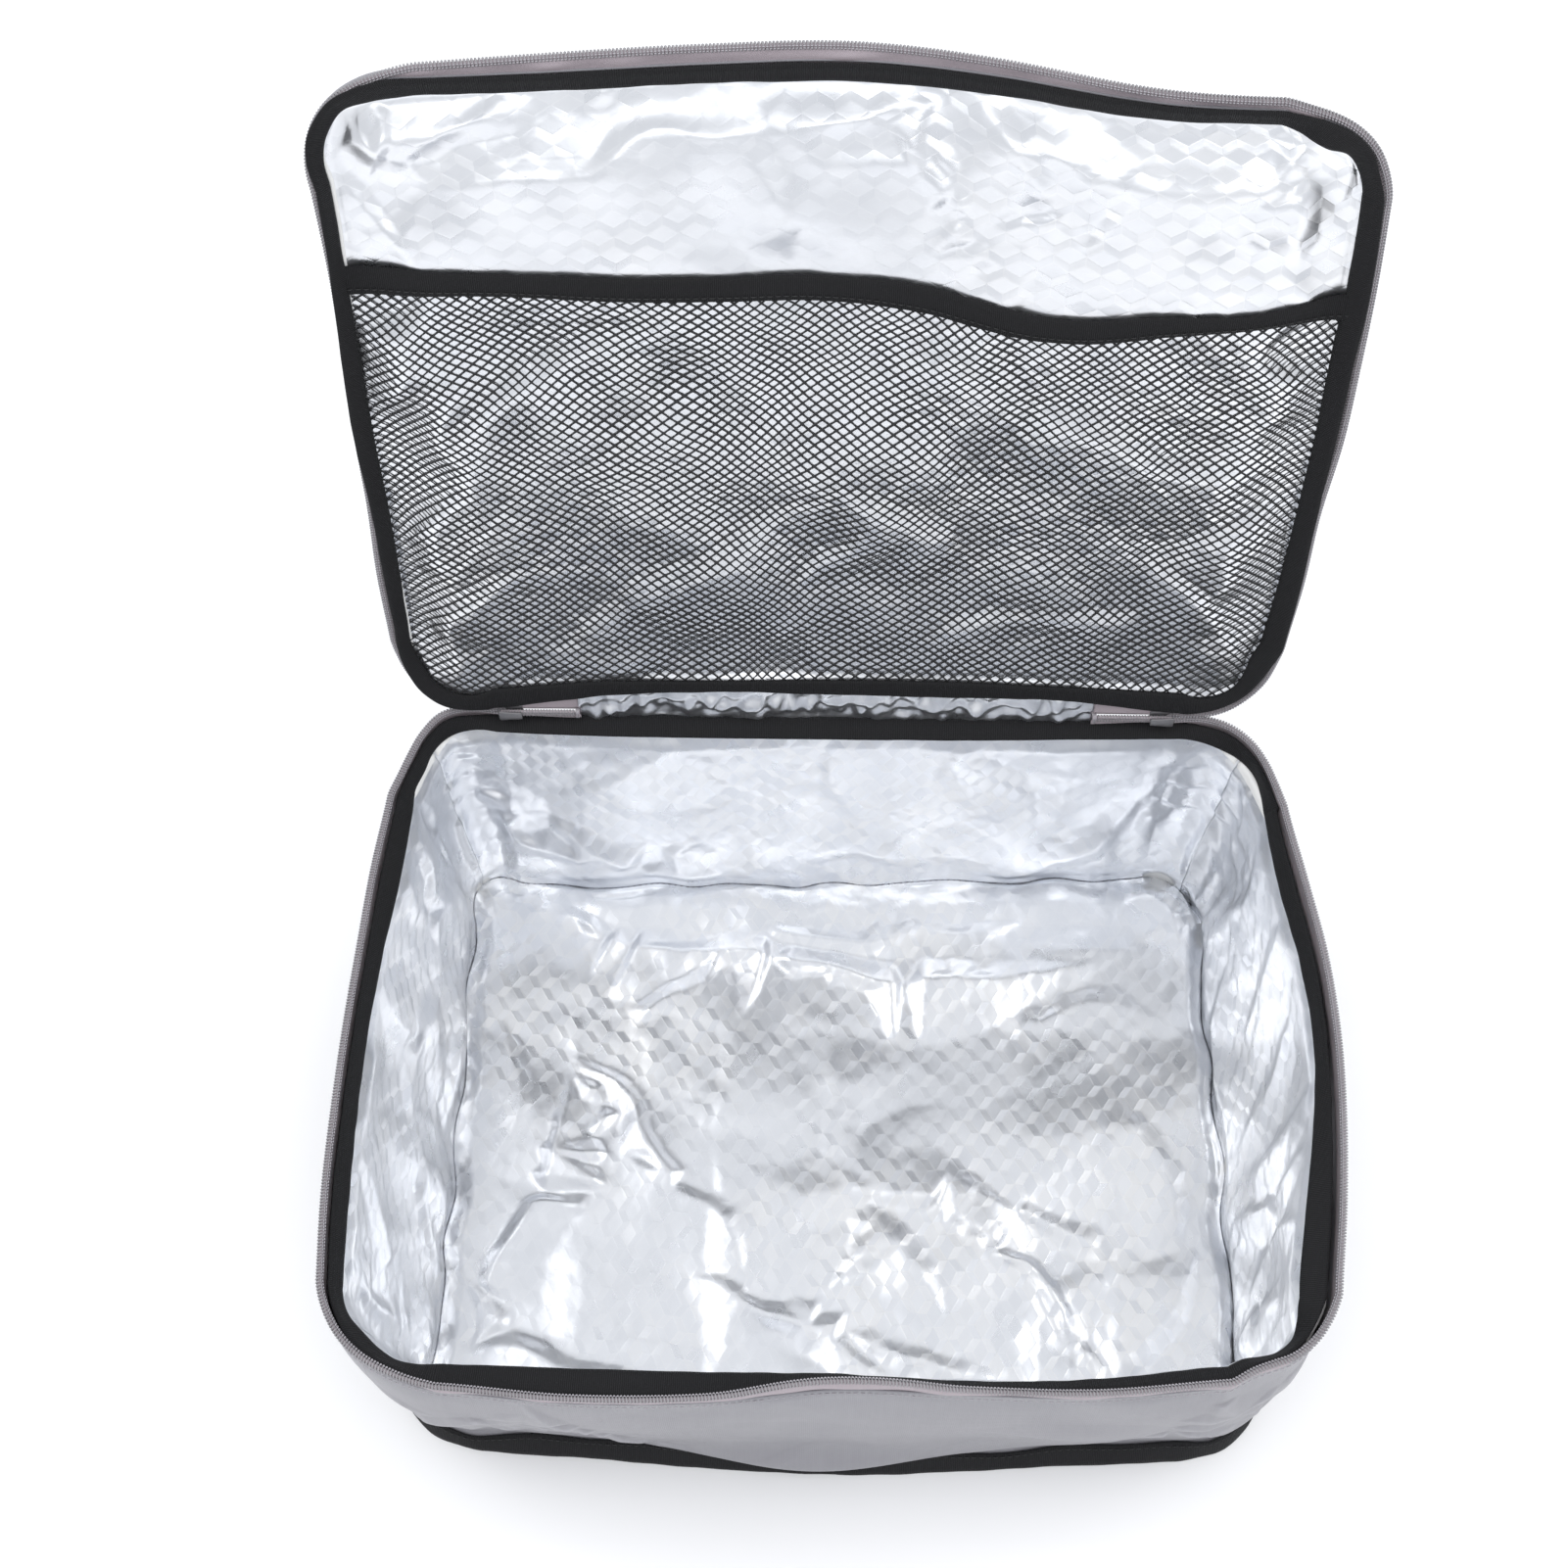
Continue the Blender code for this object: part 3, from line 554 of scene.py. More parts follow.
def facets(xy, seed, spacing, height, radius=0.9, lines=(), period=None, grain=0.75, jitter=0.08):
    """Height at xy of a sheet creased into flat facets about spacing mm wide.

    lines are (path, crest height, near flank, far flank): a crest that runs along the
    path, with one steep flank and one long one.
    """
    rng = np.random.default_rng(seed)
    lo, hi = xy.reshape(-1, 2).min(0) - 1, xy.reshape(-1, 2).max(0) + 1
    if period:
        lo[0], hi[0] = -1.0, period + 1.0
    margin = spacing * 1.6
    nx, ny = int((period if period else hi[0] - lo[0] + 2 * margin) / spacing) + 1, int((hi[1] - lo[1] + 2 * margin) / spacing) + 1
    pitch_x = (period if period else hi[0] - lo[0] + 2 * margin) / nx
    pitch_y = (hi[1] - lo[1] + 2 * margin) / ny
    gx, gy = np.meshgrid(np.arange(nx) + 0.5, np.arange(ny) + 0.5, indexing="ij")
    jit = rng.uniform(-grain / 2, grain / 2, (2, nx, ny))
    start_x = 0.0 if period else lo[0] - margin
    pts = np.stack([start_x + (gx + jit[0]) * pitch_x, lo[1] - margin + (gy + jit[1]) * pitch_y], -1).reshape(-1, 2)
    hs = rng.normal(0, height, len(pts))
    hs = np.clip(hs, -1.8 * height, 1.8 * height)
    crest_pts, crest_h = [], []
    keep = np.ones(len(pts), bool)
    for path, top, steep, long_ in lines:
        line = smooth_path(path, 40)
        run = np.concatenate([[0], np.cumsum(np.linalg.norm(np.diff(line, axis=0), axis=1))])
        count = max(5, int(run[-1] / 14))
        at = np.linspace(0, run[-1], count)
        c = np.stack([np.interp(at, run, line[:, 0]), np.interp(at, run, line[:, 1])], -1)
        tang = np.gradient(c, axis=0)
        tang /= np.linalg.norm(tang, axis=1, keepdims=True)
        side = np.stack([-tang[:, 1], tang[:, 0]], -1)
        f = at / run[-1]
        taper = np.clip(np.minimum(f, 1 - f) * 4.0, 0, 1)
        wob = rng.normal(0, 0.4 * jitter, count)
        c = c + side * rng.normal(0, jitter, count)[:, None] * (taper[:, None] > 0)
        for offset, level in ((0.0, 1.0), (abs(steep) * np.sign(steep), 0.0), (-abs(long_) * np.sign(steep), 0.0)):
            q = c + side * (offset * (0.35 + 0.65 * taper) * (1 + wob))[:, None]
            crest_pts.append(q if level else q[1:-1])
            crest_h.append(top * taper * level if level else 0 * f[1:-1])
        gap = np.linalg.norm(pts[:, None] - c[None], axis=-1).min(1)
        keep &= gap > max(abs(steep), abs(long_)) * 0.9
    if crest_pts:
        pts = np.concatenate([pts[keep]] + crest_pts)
        hs = np.concatenate([hs[keep]] + crest_h)
    if period:
        pts = np.concatenate([pts, pts - (period, 0), pts + (period, 0)])
        hs = np.concatenate([hs] * 3)
        near = (pts[:, 0] > lo[0] - 2 * margin) & (pts[:, 0] < hi[0] + 2 * margin)
        pts, hs = pts[near], hs[near]
    found = delaunay_2d_cdt([Vector(q) for q in pts], [], [], 0, 1e-5, True)
    verts = np.array([tuple(v) for v in found[0]])
    height_at = np.array([hs[ids[0]] for ids in found[3]])
    W, D = int(hi[0] - lo[0]) + 3, int(hi[1] - lo[1]) + 3
    H = np.zeros((W, D))
    for tri in found[2]:
        a, b, c = verts[list(tri)]
        x0, y0 = np.maximum(np.floor(np.minimum(np.minimum(a, b), c) - lo).astype(int), 0)
        x1, y1 = np.minimum(np.ceil(np.maximum(np.maximum(a, b), c) - lo).astype(int) + 1, (W, D))
        if x1 <= x0 or y1 <= y0:
            continue
        px_, py_ = np.meshgrid(np.arange(x0, x1) + lo[0], np.arange(y0, y1) + lo[1], indexing="ij")
        det = (b[1] - c[1]) * (a[0] - c[0]) + (c[0] - b[0]) * (a[1] - c[1])
        if abs(det) < 1e-9:
            continue
        u = ((b[1] - c[1]) * (px_ - c[0]) + (c[0] - b[0]) * (py_ - c[1])) / det
        v = ((c[1] - a[1]) * (px_ - c[0]) + (a[0] - c[0]) * (py_ - c[1])) / det
        w = 1 - u - v
        inside = (u > -1e-6) & (v > -1e-6) & (w > -1e-6)
        ha, hb, hc = height_at[list(tri)]
        H[x0:x1, y0:y1][inside] = (u * ha + v * hb + w * hc)[inside]
    H = blur(H, radius)
    q = xy.copy()
    if period:
        q[..., 0] = np.mod(q[..., 0], period)
    q = np.clip(q - lo, 0, np.array([W, D]) - 1.001)
    i = np.floor(q).astype(int)
    f = q - i
    i1 = np.minimum(i + 1, np.array([W, D]) - 1)
    return (
        H[i[..., 0], i[..., 1]] * (1 - f[..., 0]) * (1 - f[..., 1])
        + H[i1[..., 0], i[..., 1]] * f[..., 0] * (1 - f[..., 1])
        + H[i[..., 0], i1[..., 1]] * (1 - f[..., 0]) * f[..., 1]
        + H[i1[..., 0], i1[..., 1]] * f[..., 0] * f[..., 1]
    )


def crumple(xy, seed, lines=(), period=None, coarse=2.0, middle=0.7, fine=0.2, size=60.0, jitter=0.08):
    """Creases of three sizes; the finest lie in patches."""
    P = np.concatenate([xy, 0 * xy[..., :1]], -1)
    bent = xy + 3.0 * np.stack([noise(P, 70, seed + 5), noise(P, 70, seed + 6)], -1)
    if period:
        bent = xy
    h = facets(bent, seed, size, coarse, 0.8, lines, period, jitter=jitter)
    h = h + facets(bent, seed + 1, size * 0.5, middle, 0.7, (), period)
    patchy = smoothstep(-0.15, 0.5, noise(P, 60, seed + 7))
    return h + patchy * facets(xy, seed + 2, size * 0.22, fine, 0.6, (), period)


def scatter(seed, count, area, size, height, width, heading=0.0, spread=math.pi):
    """Folds at random places of a rectangle (x0, x1, y0, y1)."""
    r = np.random.default_rng(seed)
    out = []
    for _ in range(count):
        c = np.array([r.uniform(area[0], area[1]), r.uniform(area[2], area[3])])
        ang = heading + r.uniform(-spread / 2, spread / 2)
        length = r.uniform(*size)
        d = np.array([math.cos(ang), math.sin(ang)])
        e = np.array([-d[1], d[0]])
        bow = r.normal(0, 0.10) * length
        out.append(([c - d * length / 2, c + e * bow, c + d * length / 2], r.uniform(*height) * r.choice([1.0, 1.0, -0.7]), r.uniform(*width), r.uniform(-0.45, 0.45)))
    return out


def soft_limit(h, low, high, blend=1.5):
    """Keeps h between two limits, easing into them."""
    h = high - blend * np.logaddexp(0, (high - h) / blend) + 0 * h
    return low + blend * np.logaddexp(0, (h - low) / blend)


# ------------------------------------------------------------------ materials
class Tree:
    def __init__(self, name):
        self.mat = bpy.data.materials.new(name)
        self.mat.use_nodes = True
        self.nodes = self.mat.node_tree.nodes
        self.links = self.mat.node_tree.links
        self.shader = self.nodes["Principled BSDF"]

    def put(self, socket, value):
        if isinstance(value, bpy.types.NodeSocket):
            self.links.new(value, socket)
        elif value is not None:
            socket.default_value = value

    def node(self, kind, **values):
        made = self.nodes.new(kind)
        for key, value in values.items():
            setattr(made, key, value)
        return made

    def math(self, op, a, b=None, c=None, clamp=False):
        n = self.node("ShaderNodeMath", operation=op, use_clamp=clamp)
        self.put(n.inputs[0], a)
        self.put(n.inputs[1], b)
        self.put(n.inputs[2], c)
        return n.outputs[0]

    def uv(self):
        n = self.node("ShaderNodeUVMap", uv_map="Flat")
        return n.outputs[0]

    def split(self, vector):
        n = self.node("ShaderNodeSeparateXYZ")
        self.links.new(vector, n.inputs[0])
        return n.outputs

    def join(self, x, y, z=0.0):
        n = self.node("ShaderNodeCombineXYZ")
        for s, v in zip(n.inputs, (x, y, z)):
            self.put(s, v)
        return n.outputs[0]

    def noise(self, vector, scale, detail=4.0, rough=0.55, distort=0.0):
        n = self.node("ShaderNodeTexNoise")
        self.links.new(vector, n.inputs["Vector"])
        n.inputs["Scale"].default_value = scale
        n.inputs["Detail"].default_value = detail
        n.inputs["Roughness"].default_value = rough
        n.inputs["Distortion"].default_value = distort
        return n.outputs["Fac"]

    def place(self):
        return self.node("ShaderNodeTexCoord").outputs["Object"]

    def ramp(self, fac, stops):
        n = self.node("ShaderNodeValToRGB")
        self.links.new(fac, n.inputs[0])
        e = n.color_ramp.elements
        while len(e) < len(stops):
            e.new(0.5)
        for k, (pos, colour) in enumerate(stops):
            e[k].position = pos
            e[k].color = (*colour, 1) if len(colour) == 3 else colour
        return n.outputs[0]

    def range(self, fac, a, b, lo, hi):
        n = self.node("ShaderNodeMapRange")
        for s, v in zip(n.inputs, (fac, a, b, lo, hi)):
            self.put(s, v)
        return n.outputs[0]

    def bump(self, height, distance, strength=1.0, normal=None):
        n = self.node("ShaderNodeBump")
        n.inputs["Strength"].default_value = strength
        n.inputs["Distance"].default_value = distance
        self.links.new(height, n.inputs["Height"])
        if normal is not None:
            self.links.new(normal, n.inputs["Normal"])
        return n.outputs[0]

    def finish(self, colour, rough, normal=None, metal=0.0, sheen=0.0, spec=0.5, coat=0.0):
        i = self.shader.inputs
        self.put(i["Base Color"], colour if isinstance(colour, bpy.types.NodeSocket) else (*colour, 1))
        self.put(i["Roughness"], rough)
        i["Metallic"].default_value = metal
        i["Specular IOR Level"].default_value = spec
        if sheen:
            i["Sheen Weight"].default_value = sheen
            i["Sheen Roughness"].default_value = 0.4
        if coat:
            i["Coat Weight"].default_value = coat
            i["Coat Roughness"].default_value = 0.25
        if normal is not None:
            self.links.new(normal, i["Normal"])
        return self.mat


def tumbling_blocks(t, x, y):
    """Relief of a tumbling-block emboss, in mm: (height, tilt of each face, its own shade, distance from its outline).

    Each block is a wide rhombus, 13.8 mm across x and 8.2 mm along y, over two short side faces.
    """
    wide, deep, side = 13.8, 8.2, 4.25
    half, rise, period = wide / 2, deep / 2, 2 * (deep / 2 + side)
    add = lambda a, b: t.math("ADD", a, b)
    less = lambda a, b: t.math("SUBTRACT", a, b)
    by = lambda a, b: t.math("MULTIPLY", a, b)
    over = by(x, 1 / wide)
    col0 = t.math("FLOOR", add(over, 0.5))
    col1 = add(t.math("FLOOR", over), 0.5)
    m0, m1 = less(x, by(col0, wide)), less(x, by(col1, wide))
    q0 = by(t.math("ABSOLUTE", m0), 1 / half)
    q1 = less(1.0, q0)
    start = add(less(y, by(q0, rise)), side)
    row = t.math("FLOOR", by(start, 1 / period))
    e = less(start, by(row, period))
    t2, t3 = less(side + deep, by(q0, deep)), less(period, by(q0, deep))
    s1, s2, s3 = (t.math("GREATER_THAN", e, limit) for limit in (side, t2, t3))
    side0, rhomb0, side1, rhomb1 = less(1.0, s1), less(s1, s2), less(s2, s3), s3
    height = add(
        add(by(side0, less(q0, by(e, 1 / side))), by(rhomb0, add(less(q0, 1.0), by(less(e, side), 2 / deep)))),
        add(by(side1, less(q1, by(less(e, t2), 1 / side))), by(rhomb1, add(less(q1, 1.0), by(less(e, t3), 2 / deep)))),
    )
    m = add(by(m0, less(1.0, s2)), by(m1, s2))
    kind = by(add(side0, side1), add(1.0, t.math("GREATER_THAN", m, 0.0)))
    place = add(add(by(col0, less(1.0, s2)), by(col1, s2)), by(kind, 0.13))
    white = t.node("ShaderNodeTexWhiteNoise", noise_dimensions="2D")
    t.links.new(t.join(place, add(row, by(s2, 0.5))), white.inputs["Vector"])
    shade = white.outputs["Value"]
    rgb = t.split(white.outputs["Color"])
    tilt = add(by(less(rgb[0], 0.5), by(m, 1 / half)), by(less(rgb[1], 0.5), by(less(height, 0.0), 0.8)))
    line = t.math("MINIMUM", t.math("MINIMUM", e, less(period, e)), t.math("ABSOLUTE", less(e, side)))
    line = t.math("MINIMUM", line, t.math("MINIMUM", t.math("ABSOLUTE", less(e, t2)), t.math("ABSOLUTE", less(e, t3))))
    upright = add(t.math("ABSOLUTE", m), by(add(rhomb0, rhomb1), 20.0))
    outline = t.math("MINIMUM", by(line, 0.86), upright)
    return height, tilt, shade, outline


def foil(name, along="u", emboss=0.2, crinkle=0.04, turn=0.0, painted_light_gain=1.0):
    """Embossed foil. The blocks' long diagonals run along u or v of the sheet."""
    t = Tree(name)
    uv = t.split(t.uv())
    place = t.place()
    u, v = (uv[0], uv[1]) if along == "u" else (uv[1], uv[0])
    cs, sn = math.cos(math.radians(turn)), math.sin(math.radians(turn))
    u, v = (
        t.math("SUBTRACT", t.math("MULTIPLY", u, cs), t.math("MULTIPLY", v, sn)),
        t.math("ADD", t.math("MULTIPLY", u, sn), t.math("MULTIPLY", v, cs)),
    )
    height, tilt, shade, outline = tumbling_blocks(t, u, v)
    # The emboss is crisp in some places and rubbed flat in others.
    worn = t.range(t.noise(place, 10.0, 2.0), 0.34, 0.60, 0.30, 1.0)
    line = t.range(outline, 0.0, 0.42, 1.0, 0.0)
    relief = t.math("ADD", height, t.math("MULTIPLY", tilt, 0.65))
    relief = t.math("ADD", relief, t.math("MULTIPLY", line, 0.12))
    relief = t.math("MULTIPLY", relief, worn)
    n1 = t.bump(relief, emboss * MM, 1.0)
    n2 = t.bump(t.noise(place, 320.0, 4.0, 0.55, 0.4), crinkle * 2 * MM, 0.5, n1)
    n3 = t.bump(t.noise(place, 60.0, 2.0, 0.5, 0.6), crinkle * 5 * MM, 0.3, n2)
    tile = t.math("MULTIPLY", t.math("MULTIPLY", t.math("SUBTRACT", shade, 0.5), 0.36), worn)
    tone = t.math("ADD", t.math("ADD", 0.5, tile), t.math("MULTIPLY", t.math("SUBTRACT", t.noise(place, 9.0, 3.0), 0.5), 0.7))
    # The tiles' outlines are also painted lighter: a painted highlight along the emboss's ridges.
    tone = t.math("ADD", tone, t.math("MULTIPLY", t.math("MULTIPLY", line, worn), 0.20))
    stops = [(0.2, (0.80, 0.82, 0.86)), (0.5, (0.87, 0.885, 0.915)), (0.85, (0.965, 0.97, 0.98))]
    # The colour is scaled per surface, so that the same foil is painted lighter or darker: painted light and painted
    # shade.
    colour = t.ramp(tone, [(at, tuple(min(0.985, c * painted_light_gain) for c in shade_)) for at, shade_ in stops])
    rough = t.math("ADD", t.range(t.noise(place, 38.0, 4.0), 0.3, 0.7, 0.27, 0.34), t.math("MULTIPLY", t.math("SUBTRACT", shade, 0.5), 0.04))
    return t.finish(colour, rough, n3, metal=0.97)


def cloth(name, tone=(0.262, 0.258, 0.281), smooth=0.38, shine=0.5):
    t = Tree(name)
    uv = t.split(t.uv())
    place = t.place()
    ribs = t.math("SINE", t.math("MULTIPLY", uv[0], 2 * math.pi / 0.9))
    picks = t.math("SINE", t.math("MULTIPLY", uv[1], 2 * math.pi / 0.55))
    weave = t.math("ADD", t.math("MULTIPLY", ribs, 0.8), t.math("MULTIPLY", t.math("MULTIPLY", ribs, picks), 0.5))
    slub = t.noise(t.join(t.math("MULTIPLY", uv[0], 0.9), t.math("MULTIPLY", uv[1], 0.02)), 1.0, 3.0)
    n1 = t.bump(weave, 0.05 * MM, 0.5)
    n2 = t.bump(slub, 0.10 * MM, 0.4, n1)
    n3 = t.bump(t.noise(place, 40.0, 4.0, 0.5, 0.8), 0.9 * MM, 0.22, n2)
    tint_and_painted_shading = t.math("ADD", t.math("MULTIPLY", slub, 0.45), t.math("MULTIPLY", t.noise(place, 6.0, 4.0), 0.55))
    # The cloth's colour is painted paler along its crests and greyer in its folds: painted highlight and painted
    # shade.
    crest = t.node("ShaderNodeAttribute", attribute_type="GEOMETRY", attribute_name="crest").outputs["Fac"]
    # Yarn slubs and random tone, plus the crest value as painted highlight and painted shade.
    tint_and_painted_shading = t.math("ADD", t.math("ADD", t.math("MULTIPLY", tint_and_painted_shading, 0.5), 0.2), t.math("MULTIPLY", crest, 0.36))
    shades = [(0.08, 0.70), (0.36, 0.92), (0.56, 1.05), (0.92, 1.5)]
    colour = t.ramp(tint_and_painted_shading, [(at, tuple(min(1, c * k) for c in tone)) for at, k in shades])
    rough = t.range(t.noise(place, 25.0, 3.0), 0.3, 0.7, smooth, smooth + 0.12)
    return t.finish(colour, rough, n3, sheen=0.08, spec=shine)


def ribbed(name, tone=(0.0115, 0.0115, 0.0125), pitch=0.9, gloss=0.72):
    """Woven binding: ribs lie across the band, which runs along u."""
    t = Tree(name)
    uv = t.split(t.uv())
    wob = t.noise(t.join(t.math("MULTIPLY", uv[0], 0.05), t.math("MULTIPLY", uv[1], 0.3)), 1.0, 2.0)
    phase = t.math("ADD", t.math("MULTIPLY", uv[0], 2 * math.pi / pitch), t.math("MULTIPLY", wob, 1.5))
    rib = t.math("SINE", phase)
    strand = t.math("SINE", t.math("MULTIPLY", uv[1], 2 * math.pi / 0.8))
    weave = t.math("ADD", rib, t.math("MULTIPLY", t.math("MULTIPLY", rib, strand), 0.35))
    fuzz = t.noise(t.place(), 900.0, 3.0, 0.7)
    n1 = t.bump(weave, 0.11 * MM, 0.9)
    n2 = t.bump(fuzz, 0.08 * MM, 0.5, n1)
    mixv = t.math("ADD", t.math("MULTIPLY", t.math("ADD", weave, 1.0), 0.25), t.math("MULTIPLY", fuzz, 0.5))
    dark = tuple(c * 0.45 for c in tone)
    light = tuple(c * 2.3 for c in tone)
    colour = t.ramp(mixv, [(0.1, dark), (0.5, tone), (0.95, light)])
    rough = t.range(fuzz, 0.3, 0.7, gloss - 0.08, gloss + 0.1)
    return t.finish(colour, rough, n2, sheen=0.03, spec=0.22)


def twill(name, tone):
    """Zipper tape: a fine herringbone weave."""
    t = Tree(name)
    uv = t.split(t.uv())
    zig = t.math("PINGPONG", uv[1], 2.2)
    rib = t.math("SINE", t.math("MULTIPLY", t.math("ADD", uv[0], zig), 2 * math.pi / 0.7))
    fuzz = t.noise(t.place(), 700.0, 3.0, 0.6)
    n1 = t.bump(rib, 0.06 * MM, 0.6)
    n2 = t.bump(fuzz, 0.05 * MM, 0.4, n1)
    mixv = t.math("ADD", t.math("MULTIPLY", t.math("ADD", rib, 1.0), 0.3), t.math("MULTIPLY", fuzz, 0.4))
    colour = t.ramp(mixv, [(0.15, tuple(c * 0.84 for c in tone)), (0.85, tuple(min(1, c * 1.08) for c in tone))])
    rough = t.range(fuzz, 0.3, 0.7, 0.62, 0.78)
    return t.finish(colour, rough, n2, sheen=0.15, spec=0.35)


def plain(name, tone, rough0, rough1, grain=300.0, depth=0.03, metal=0.0, spec=0.5, sheen=0.0, spread=0.12, coat=0.0):
    t = Tree(name)
    place = t.place()
    a, b = t.noise(place, grain, 4.0, 0.6), t.noise(place, grain * 0.07, 3.0)
    colour = t.ramp(b, [(0.3, tuple(c * (1 - spread) for c in tone)), (0.7, tuple(min(1, c * (1 + spread)) for c in tone))])
    n1 = t.bump(a, depth * MM, 0.6)
    rough = t.range(a, 0.3, 0.7, rough0, rough1)
    return t.finish(colour, rough, n1, metal=metal, spec=spec, sheen=sheen, coat=coat)


# The same foil, painted lighter on the floor and the back and front walls and darker on the lid and the side walls:
# painted light and painted shade.
FOIL_WALL = foil("foil_wall", "v", turn=1.0, painted_light_gain=1.05)
FOIL_SIDE = foil("foil_side", "u", turn=-2.0, painted_light_gain=0.84)
FOIL_FLOOR = foil("foil_floor", "v", emboss=0.16, turn=-1.5, painted_light_gain=1.05)
FOIL_LID = foil("foil_lid", "u", turn=1.0, painted_light_gain=0.96)
FOIL_HINGE = foil("foil_hinge", "v", crinkle=0.1)
CLOTH = cloth("outer_cloth")
CLOTH_LID = cloth("outer_cloth_lid", smooth=0.52, shine=0.35)
WEBBING = ribbed("binding_webbing")
TAPE = twill("zipper_tape_cloth", (0.42, 0.365, 0.395))
COIL = plain("zipper_coil_nylon", (0.27, 0.262, 0.275), 0.32, 0.5, spec=0.5)
THREAD = plain("thread_black", (0.02, 0.02, 0.021), 0.5, 0.7, grain=900.0)
THREAD_GREY = plain("thread_grey", (0.42, 0.40, 0.43), 0.5, 0.7, grain=900.0)
FOAM = plain("foam_white", (0.84, 0.84, 0.83), 0.85, 0.95, grain=420.0, depth=0.25, spec=0.3, spread=0.04)
NET = plain("net_black", (0.017, 0.017, 0.018), 0.5, 0.72, grain=1100.0, depth=0.05, spec=0.4, sheen=0.1)
METAL = plain("slider_paint", (0.20, 0.195, 0.205), 0.3, 0.45, grain=160.0, depth=0.02, metal=0.35, spec=0.5, coat=0.2)


def as_piece(obj, body, slot, *nodes):
    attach(obj, body)
    if nodes:
        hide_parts(*nodes)
    return obj


SIDES = (("back", 1.5), ("left", 3.5), ("front", 5.5), ("right", 7.5))
SEAM_Z = 150.4  # where outer cloth, tape and binding are sewn together


def front_lift(t):
    """The zipper curls up over the middle of the front."""
    x = loop(t)[0][..., 0]
    return np.exp(-(((x - 5) / 42.0) ** 4)) * smoothstep(4.9, 5.1, np.mod(t, 8)) * smoothstep(6.1, 5.9, np.mod(t, 8))


SKIRT_Z = 12.0


def in_front(t):
    mod = np.mod(t, 8)
    return smoothstep(4.7, 5.2, mod) * smoothstep(6.3, 5.8, mod)


def skirt_in(t):
    """How far the foot band leans in over its height, in mm."""
    return 5.2 + 2.4 * in_front(t) - 3.2 * np.exp(-(((np.mod(t, 8) - 0.5) / 0.45) ** 2))


def wall_d(t, z):
    """Plain outer face of the body's wall, before its creases."""
    top = body_coil(t) - 1.6
    low = foot(t) - 0.9
    x = loop(t)[0][..., 0]
    front = in_front(t)
    f = np.clip((z - SKIRT_Z) / (SEAM_Z - SKIRT_Z), 0, 1)
    base = low - skirt_in(t)
    wall = base + (top - base) * (0.55 * f + 0.45 * smoothstep(0, 1, f)) + (4.5 + front * 1.0 * np.exp(-((x / 120.0) ** 2))) * np.sin(math.pi * f**1.15)
    # In the middle of the front the cloth sags out over the foot band.
    over = 10.8 * front * np.exp(-(((x + 8.0) / 62.0) ** 2))
    wall = wall + over * np.exp(-(((z - 15.0) / 15.0) ** 2))
    skirt = low - skirt_in(t) * np.clip(z / SKIRT_Z, 0, 1)
    return np.where(z < SKIRT_Z, skirt, wall)


# ------------------------------------------------------------------ outer cloth
FRONT_FOLDS = [  # (x, z)
    ([(-140, 148), (-126, 112), (-110, 76), (-92, 42), (-70, 16)], 2.8, 8, 0.3),
    ([(-214, 22), (-196, 38), (-180, 34), (-166, 20)], 1.5, 9, 0.2),
    ([(-216, 26), (-196, 62), (-177, 94), (-138, 128)], 2.2, 8, 0.3),
    ([(-215, 24), (-188, 50), (-152, 62), (-118, 58)], 1.5, 9, 0.2),
    ([(-206, 120), (-190, 100), (-160, 100), (-120, 108)], 1.2, 9, 0.2),
    ([(-170, 22), (-138, 21), (-99, 19), (-52, 16)], 1.2, 8, 0.2),
    ([(217, 18), (196, 38), (160, 69), (112, 78), (66, 92)], 2.6, 8, 0.3),
    ([(160, 69), (133, 46), (95, 28), (44, 18)], 2.2, 8, 0.3),
    ([(160, 70), (170, 110), (186, 142)], 1.8, 8, 0.2),
    ([(160, 74), (194, 101), (214, 118)], 2.2, 8, -0.3),
    ([(221, 22), (216, 80), (211, 132)], 1.8, 8, 0.2),
    ([(216, 20), (206, 60), (190, 96)], 1.6, 8, -0.2),
]


